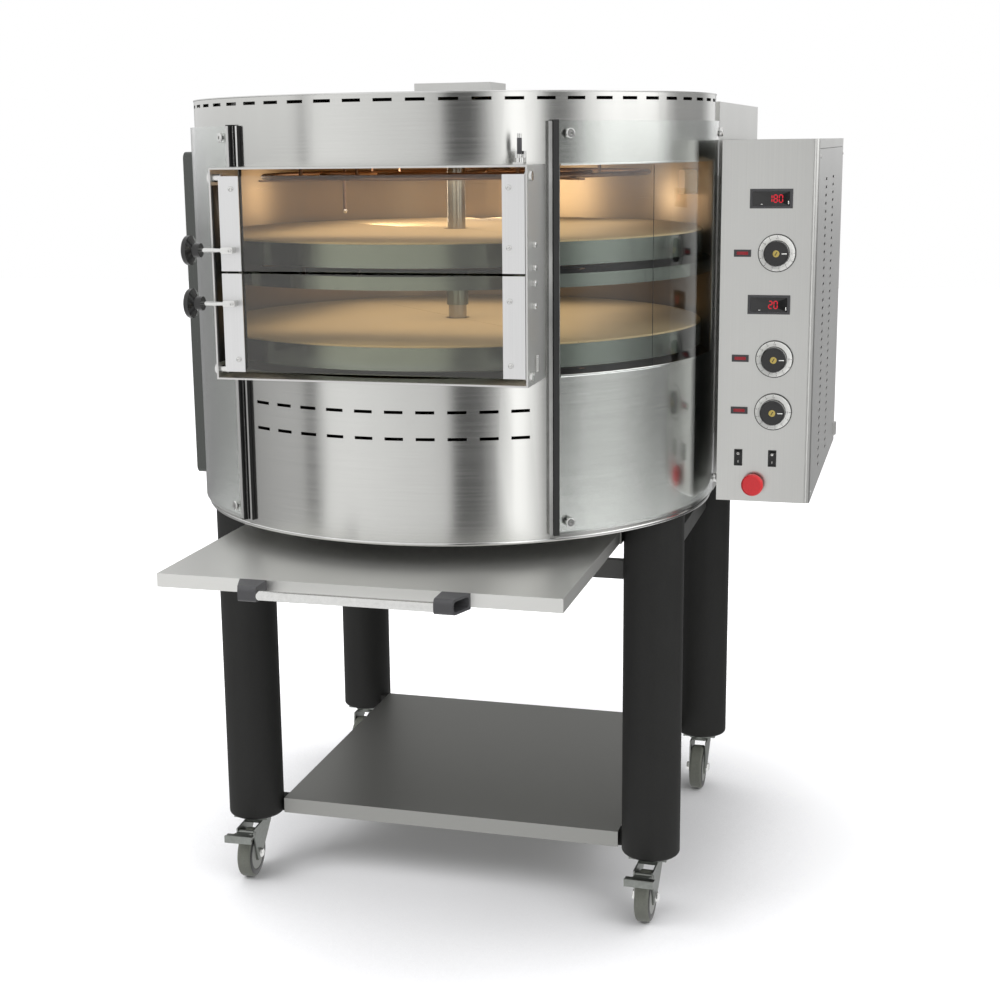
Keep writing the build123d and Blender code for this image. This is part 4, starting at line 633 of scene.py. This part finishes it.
def new_piece(name, shape, material, body):
    """A finished piece: doubles merged, faces turned outward, smooth up to 35 degrees."""
    points, faces = shape
    mesh = bpy.data.meshes.new(name)
    mesh.from_pydata((axis + mm * points).tolist(), [], faces.tolist())
    work = bmesh.new()
    work.from_mesh(mesh)
    bmesh.ops.remove_doubles(work, verts=work.verts, dist=1e-6)
    bmesh.ops.recalc_face_normals(work, faces=work.faces)
    work.to_mesh(mesh)
    work.free()
    mesh.shade_smooth()
    mesh.set_sharp_from_angle(angle=math.radians(35))
    mesh.materials.append(material)
    piece = bpy.data.objects.new(name, mesh)
    scene.collection.objects.link(piece)
    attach(piece, body)
    new_pieces.append(name)
    return piece


def screw_head(radius, height, socket=0.45):
    """A dome, r = R cos t and h = H (0.25 + 0.75 sin t), with a tapered socket in its top."""
    t = np.radians(np.linspace(0, 62, 6))
    dome = list(zip(radius * np.cos(t), height * (0.25 + 0.75 * np.sin(t))))
    return turned([(radius, -0.2), *dome, (socket * radius, 0.9 * height),
                   (0.7 * socket * radius, 0.45 * height), (0.01, 0.4 * height)], 24)


def box_from_axis(node):
    """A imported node's lowest and highest corners, in millimetres from the drum's axis."""
    return [(np.array(corner) - axis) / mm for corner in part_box(node)]


new_pieces = []
to_front, to_right, to_back = (0, -1, 0), (1, 0, 0), (0, 1, 0)
frame_low, frame_high = box_from_axis("door_frame")
pane_low, pane_high = box_from_axis("side_glass_panes")
panel_low, panel_high = box_from_axis("control_panel")
radius_mm = drum_radius / mm
print("door frame from x", round(frame_low[0], 1), "to", round(frame_high[0], 1))

# %% [markdown]
# Each curved pane ends in metal and rubber beside the door frame. On the right a steel strip
# stands before the rubber, and on the left two rubber ribs have thin steel caps. A seam runs
# up the right pane, the window behind it has a rolled rim, and the drum's lower and upper
# edges are rolled too.

# %% Trims and rolled edges of the drum
def upright(inner, outer, start, end):
    """An upright strip as tall as the panes, between two radii and two angles."""
    low, high = pane_low[2], pane_high[2]
    return bent([(inner, low), (outer, low), (outer, high), (inner, high)], start, end, 3)


def bead(radius, z, half_out, half_up, start, end):
    """A rolled edge: an oval section carried round the drum."""
    t = np.linspace(0, 2 * np.pi, 10, endpoint=False)
    section = np.column_stack([radius + half_out * np.cos(t), z + half_up * np.sin(t)])
    return bent(section, start, end, 120)


strip_foot, rib_height, cap_sheet = 0.3, 6.0, 0.6
strip_angles, seam_angles, window_angles = (33.95, 34.7), (58.64, 58.78), (36.6, 96.8)
rib_angles = ((-34.55, -33.95), (-33.2, -32.6))
cap_angles = ((-34.55, -34.0), (-33.2, -32.65))
gasket_cap_angles = (-35.9, -34.95)
new_piece("right_pane_strip", upright(radius_mm + strip_foot, radius_mm + 8, *strip_angles),
          bright_steel, "oven")
ribs = [upright(radius_mm + strip_foot, radius_mm + rib_height, *angles) for angles in rib_angles]
new_piece("left_rubber_ribs", joined(ribs), seal_rubber, "oven")
cap_foot = radius_mm + rib_height + 0.1
caps = [upright(cap_foot, cap_foot + cap_sheet, *angles) for angles in cap_angles]
new_piece("left_rib_caps", joined(caps), bright_steel, "oven")
gasket_top = radius_mm + 11.2
new_piece("left_gasket_cap", upright(gasket_top, gasket_top + cap_sheet, *gasket_cap_angles),
          frame_steel, "oven")
seam_inner, seam_outer = radius_mm + 8.1, radius_mm + 8.5
seam_low, seam_high = frame_low[2] + 6, frame_high[2] - 6
seam = [(seam_inner, seam_low), (seam_outer, seam_low), (seam_outer, seam_high),
        (seam_inner, seam_high)]
new_piece("pane_seam", bent(seam, *seam_angles), seal_rubber, "oven")
rim_low, rim_high = frame_low[2] + 1, frame_high[2] - 1
new_piece("window_rims", joined([bead(radius_mm + 0.9, rim_low, 0.9, 2.4, *window_angles),
                                 bead(radius_mm + 0.9, rim_high, 0.9, 2.0, *window_angles)]),
          bright_steel, "oven")
drum_bottom = (shell_low[2] - axis[2]) / mm
drum_top = (shell_high[2] - axis[2]) / mm
edge_angles = (-99, 99)
new_piece("drum_edges", joined([bead(radius_mm + 1.0, drum_bottom + 3.2, 1.3, 2.9, *edge_angles),
                                bead(radius_mm + 0.2, drum_top - 1.4, 0.8, 1.3, *edge_angles)]),
          bright_steel, "oven")
print("trims and edges:", new_pieces)

# %% [markdown]
# The doors' steel bands are held by small domed screws. The frame has domed stop bolts on its
# right cheek, a threaded stop above and a small spring at its lower right corner. A black sheet
# with a rubber finish inside its left cheek is painted shade: it darkens the cheek's inner face,
# which lies in shadow. The screws next to a hinge swing close to the frame's edge, so they sit
# far enough along their bands to clear it with the door fully open. The round tip of the
# temperature probe shows inside the upper chamber.

# %% Screws of the door bands, and the frame's small parts
band_front = frame_low[1]
band_screw = facing(screw_head(4.6, 3.4, 0.28), to_front)
upper_screws = [(x, band_front, z) for x, z in ((-237.0, 1425.8), (246.0, 1426.0), (246.1, 1329.7))]
lower_screws = [(x, band_front, z) for x, z in ((-234.5, 1137.6), (246.6, 1243.4), (247.9, 1137.6))]
new_piece("upper_band_screws", copies(band_screw, upper_screws), bright_steel, "upper_door")
new_piece("lower_band_screws", copies(band_screw, lower_screws), bright_steel, "lower_door")
clevis_screw = facing(screw_head(3.4, 2.0), to_front)
for door, height in {"upper": 1324.0, "lower": 1234.0}.items():
    new_piece(f"{door}_clevis_screws", copies(clevis_screw, [(-236.0, -561.0, height)]),
              bright_steel, f"{door}_door")


def spring(radius, wire, low, high, turns, steps=14):
    """A wound wire: the centre line is (R cos a, R sin a, z), with a ring of points round it."""
    a = np.linspace(0, 2 * np.pi * turns, turns * steps)
    out = np.column_stack([np.cos(a), np.sin(a), np.zeros(len(a))])
    line = radius * out + np.column_stack([0 * a, 0 * a, np.linspace(low, high, len(a))])
    t = np.linspace(0, 2 * np.pi, 6, endpoint=False)
    up = np.array([0.0, 0.0, 1.0])
    return skinned([p + wire * (np.outer(np.cos(t), o) + np.outer(np.sin(t), up))
                    for p, o in zip(line, out)])


cheek_x, cheek_y = frame_high[0] + 4.5, band_front + 35
cheek_drops = (128, 165.5, 190.5, 228)
cheek_spots = [(cheek_x, cheek_y, frame_high[2] - drop) for drop in cheek_drops]
new_piece("cheek_domes", copies(facing(screw_head(5.4, 3.0, 0.2), to_right), cheek_spots),
          bright_steel, "oven")
thread = turned([(3.8, 0), (4.1, 0.6), (4.1, 25.4), (3.8, 26)], 24)
thread_foot = (frame_high[0] - 27.8, -482.0, frame_high[2] + 17)
new_piece("stop_thread", copies(thread, [thread_foot]), moulded_grey, "oven")
# A black sheet on the left cheek's inner face: painted shade for that face's shadow.
shade_sheet_depth, shade_sheet_height, cheek_sheet = 96, 300, 3
shade_sheet = facing(plate(rounded(shade_sheet_depth, shade_sheet_height, 2.0), 0.3, 1.3), to_right)
shade_sheet_spot = (frame_low[0] + cheek_sheet, band_front + 52, (frame_low[2] + frame_high[2]) / 2)
new_piece("cheek_painted_shade", copies(shade_sheet, [shade_sheet_spot]), seal_rubber, "oven")
spring_foot, spring_head, spring_turns = 1122, 1150, 9
coil = spring(2.6, 0.7, spring_foot, spring_head, spring_turns)
new_piece("lower_door_spring", copies(coil, [(frame_high[0] + 3.4, -495.0, 0.0)]), bright_steel,
          "oven")
tip_radius, tip_spot = 5.0, (-272.0, 110.0, 1362.0)
tip_angles = np.radians(np.linspace(-88, 88, 11))
probe_tip = turned(list(zip(tip_radius * np.cos(tip_angles), tip_radius * np.sin(tip_angles))), 24)
new_piece("probe_tip", copies(probe_tip, [tip_spot]), bright_steel, "oven")
print("door screws, stops, spring and probe tip made")

# %% [markdown]
# The control panel carries two temperature displays, three indicators, three dials, two
# rocker switches and the emergency stop. The dials and switches turn and tilt as bodies of
# their own, so what is printed on a knob rides on the knob. The scales have only plain
# numbers.

# %% Displays and indicators
def on_panel(across, down, ahead=0.0):
    """A spot on the panel: across from its left edge, down from its top, ahead of its face."""
    return panel_low[0] + across, panel_low[1] - ahead, panel_high[2] - down


def digit(lit, height=15.0, width=8.0, bar=2.0):
    """A seven-segment digit: six-sided bars at the places named a to g in the usual order."""
    tip = bar / 2
    half = (height - bar) / 4
    long_bar = np.array([(-1, 0), (-1, -1), (1, -1), (1, 0), (1, 1), (-1, 1)], dtype=float)

    def one(x, y, length, is_upright):
        outline = long_bar * (length / 2 - tip, tip) + long_bar * (1, 0) * (long_bar[:, 1:] == 0) * tip
        outline = outline[:, ::-1] if is_upright else outline
        points, faces = plate(outline, 0.0, 0.35, 0.08)
        return points + (x, y, 0.0), faces

    across, tall = width - bar - 0.6, 2 * half - 0.6
    side = (width - bar) / 2
    places = {"a": (0, 2 * half, across, False), "g": (0, 0, across, False),
              "d": (0, -2 * half, across, False), "b": (side, half, tall, True),
              "c": (side, -half, tall, True), "f": (-side, half, tall, True),
              "e": (-side, -half, tall, True)}
    return joined([one(*places[letter]) for letter in lit])


segments = {"0": "abcdef", "1": "bc", "2": "abged", "8": "abcdefg"}
display_spots = ((90.0, 105.0), (90.0, 297.0))
window = facing(plate(rounded(67, 26, 1.5), 0.0, 0.5), to_front)
new_piece("display_windows", copies(window, [on_panel(x, z, 2.0) for x, z in display_spots]),
          phenolic, "oven")
digit_pitch, digits_middle = 9.6, 7.7
shown = []
for (x, z), words in zip(display_spots, ("180", "20")):
    for place, letter in enumerate(words):
        shift = digits_middle + (place - (len(words) - 1) / 2) * digit_pitch
        shown.append(copies(facing(digit(segments[letter]), to_front), [on_panel(x + shift, z, 2.5)]))
new_piece("display_digits", joined(shown), lit_red, "oven")
small_mark = facing(plate(rounded(3.4, 1.2, 0.3), 0.0, 0.3, 0.08), to_front)
side_mark = facing(plate(rounded(1.6, 6.0, 0.3), 0.0, 0.3, 0.08), to_front)
marks = [copies(small_mark, [on_panel(x - 17, z + 10, 2.5) for x, z in display_spots]),
         copies(side_mark, [on_panel(x + 31, z + 7, 2.5) for x, z in display_spots])]
new_piece("display_marks", joined(marks), white_ink, "oven")
indicator_spots = ((40.0, 203.5), (40.0, 397.0), (40.0, 494.5))
lens = facing(plate(rounded(21, 6.0, 1.0), 0.0, 0.7, 0.4), to_front)
new_piece("indicator_lenses", copies(lens, [on_panel(x, z, 1.9) for x, z in indicator_spots]),
          indicator_red, "oven")
print("digits lit on the displays:", len(shown))

# %% Dial scales and knob marks
tick_ring, numeral_ring, numeral_height, tick_step = 31.0, 27.0, 5.0, 27


def numerals(words, size):
    """Plain lettering as points and faces, thin and centred, from Blender's own font."""
    curve = bpy.data.curves.new("numeral", "FONT")
    curve.body, curve.size, curve.extrude = words, size, 0.12
    curve.align_x, curve.align_y = "CENTER", "CENTER"
    text = bpy.data.objects.new("numeral", curve)
    mesh = bpy.data.meshes.new_from_object(text)
    points = np.empty(len(mesh.vertices) * 3)
    mesh.vertices.foreach_get("co", points)
    faces = [list(polygon.vertices) for polygon in mesh.polygons]
    triangles = [(face[0], a, b) for face in faces for a, b in zip(face[1:-1], face[2:])]
    bpy.data.meshes.remove(mesh)
    bpy.data.objects.remove(text)
    bpy.data.curves.remove(curve)
    # Each triangle is written with four corners, the last one twice, like the other faces.
    quads = np.array([(a, b, c, c) for a, b, c in triangles])
    return points.reshape(-1, 3), quads


def dial_scale():
    """Ticks every 27 degrees from the right, clockwise, with the numbers 0 to 10 inside them."""
    tick = plate(rounded(2.2, 0.7, 0.2), 0.0, 0.25, 0.05)
    parts = []
    for number in range(11):
        turn = math.radians(-tick_step * number)
        cos, sin = math.cos(turn), math.sin(turn)
        turned_tick = tick[0] @ np.array([[cos, sin, 0], [-sin, cos, 0], [0, 0, 1]])
        parts.append((turned_tick + (tick_ring * cos, tick_ring * sin, 0), tick[1]))
        points, faces = numerals(str(number), numeral_height)
        parts.append((points + (numeral_ring * cos, numeral_ring * sin, 0.1), faces))
    return joined(parts)


dial_spots = ((102.5, 203.0), (102.5, 397.0), (102.5, 495.5))
annulus = facing(turned([(23.6, 0.0), (23.6, 0.5), (32.9, 0.5), (32.9, 0.0)], 64), to_front)
new_piece("dial_faces", copies(annulus, [on_panel(x, z, 2.9) for x, z in dial_spots]), white_ink,
          "oven")
scale_marks = facing(dial_scale(), to_front)
new_piece("dial_numbers", copies(scale_marks, [on_panel(x, z, 3.4) for x, z in dial_spots]),
          black_ink, "oven")
cap = facing(turned([(6.2, -0.5), (6.2, 0.3), (5.6, 0.8), (0.01, 0.8)], 32), to_front)
cap_slot = facing(plate(rounded(7.5, 1.6, 0.4), 0.7, 0.95, 0.05), to_front, 60)
pointer = facing(copies(plate(rounded(9.5, 1.8, 0.5), -0.3, 0.25, 0.1), [(14.6, 0, 0)]), to_front)
knob_front = 20.5
for number, (x, z) in enumerate(dial_spots, start=1):
    spot, body = [on_panel(x, z, knob_front)], f"dial_{number}"
    new_piece(f"dial_{number}_cap", copies(cap, spot), brass, body)
    new_piece(f"dial_{number}_slot", copies(cap_slot, spot), black_ink, body)
    new_piece(f"dial_{number}_pointer", copies(pointer, spot), white_ink, body)
print("dials dressed:", len(dial_spots))

# %% [markdown]
# A rocker's face is two shallow slopes, so its two marks, a ring for off and a bar for on, are
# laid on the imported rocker: a ray from the front finds the slope's place and its direction.

# %% Marks on the rockers
def resting(node, shape, start):
    """A shape moved to where a ray from the front meets the node, and turned to its slope."""
    place, normal = frame["nodes"][node].ray_cast(axis + mm * np.array(start), to_back)[1:3]
    points, faces = facing(shape, normal)
    return points + (np.array(place) - axis) / mm, faces


mark_ring = turned([(1.5, 0.0), (1.5, 0.2), (2.4, 0.2), (2.4, 0.0)], 24)
mark_bar = plate(rounded(0.9, 4.6, 0.3), -0.1, 0.2, 0.05)
rocker_down, mark_offset, ray_start = 584.0, 7.5, 30
for side, x in {"left": 40.0, "right": 103.0}.items():
    node = "rocker_switch_" + side
    marks = joined([resting(node, mark_ring, on_panel(x, rocker_down - mark_offset, ray_start)),
                    resting(node, mark_bar, on_panel(x, rocker_down + mark_offset, ray_start))])
    new_piece(f"rocker_{side}_marks", marks, white_ink, "rocker_" + side)
print("rockers marked")

# %% [markdown]
# Thin sheet steel is held by small screws. The cabinet's vented side cover has one near each
# corner, and the rear casing's access panel has three flush ones along its top and bottom.

# %% Screws of the covers
def rows(x_values, y_values, z_values):
    """Every spot with one of these x, y and z values."""
    return [(x, y, z) for x in x_values for y in y_values for z in z_values]


side_low, side_high = box_from_axis("cabinet_side_cover")
cover_screw = screw_head(4.0, 1.8)
side_inset_y, side_inset_z, access_inset = 16, 14, 8
side_spots = rows([panel_high[0]], [side_low[1] + side_inset_y, side_high[1] - side_inset_y],
                  [side_high[2] - side_inset_z, side_low[2] + side_inset_z])
new_piece("side_cover_screws", copies(facing(cover_screw, to_right), side_spots), bright_steel,
          "oven")
access_low, access_high = box_from_axis("rear_access_panel")
flush_screw = facing(turned([(5.0, -1.0), (5.0, -0.1), (4.4, 0.25), (1.8, 0.25), (1.5, -0.6),
                             (0.01, -0.6)], 24), to_back)
middle_x = (access_low[0] + access_high[0]) / 2
access_columns = [access_low[0] + access_inset, middle_x, access_high[0] - access_inset]
access_spots = rows(access_columns, [access_high[1] - 0.25],
                    [access_low[2] + access_inset, access_high[2] - access_inset])
new_piece("access_panel_screws", copies(flush_screw, access_spots), bright_steel, "oven")
print("cover screws:", len(side_spots) + len(access_spots))

# %% [markdown]
# Each castor wheel has a grey centre and a darker side wall on its tyre, and each fork has a
# nut at both ends of the axle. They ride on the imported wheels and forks.

# %% Castor wheels and axle nuts
def both_sides(shape):
    """A shape and its mirror image across local z = 0."""
    points, faces = shape
    return joined([shape, (points * (1, 1, -1), faces)])


side_wall = both_sides(turned([(35.0, 13.6), (35.4, 14.5), (45.0, 14.5), (46.5, 13.6)], 48))
centre = both_sides(turned([(17.4, 13.6), (17.4, 15.2), (22.0, 14.9), (33.6, 14.4), (34.4, 13.6)], 48))
nut = both_sides(turned([(9.5, 19.6), (9.5, 24.6), (8.4, 26.0), (0.01, 26.0)], 6))
for corner in ("front_left", "front_right", "rear_left", "rear_right"):
    wheel_low, wheel_high = box_from_axis("castor_wheel_" + corner)
    hub = (wheel_low + wheel_high) / 2
    joint = next(j for j in frame["joints"] if j["name"] == "roll_" + corner)
    axle = joint["axis"]
    new_piece(f"side_walls_{corner}", copies(facing(side_wall, axle), [hub]), seal_rubber,
              "wheel_" + corner)
    new_piece(f"wheel_centres_{corner}", copies(facing(centre, axle), [hub]), rim_grey,
              "wheel_" + corner)
    new_piece(f"axle_nuts_{corner}", copies(facing(nut, axle), [hub]), bright_steel,
              "fork_" + corner)
print("new pieces:", len(new_pieces))
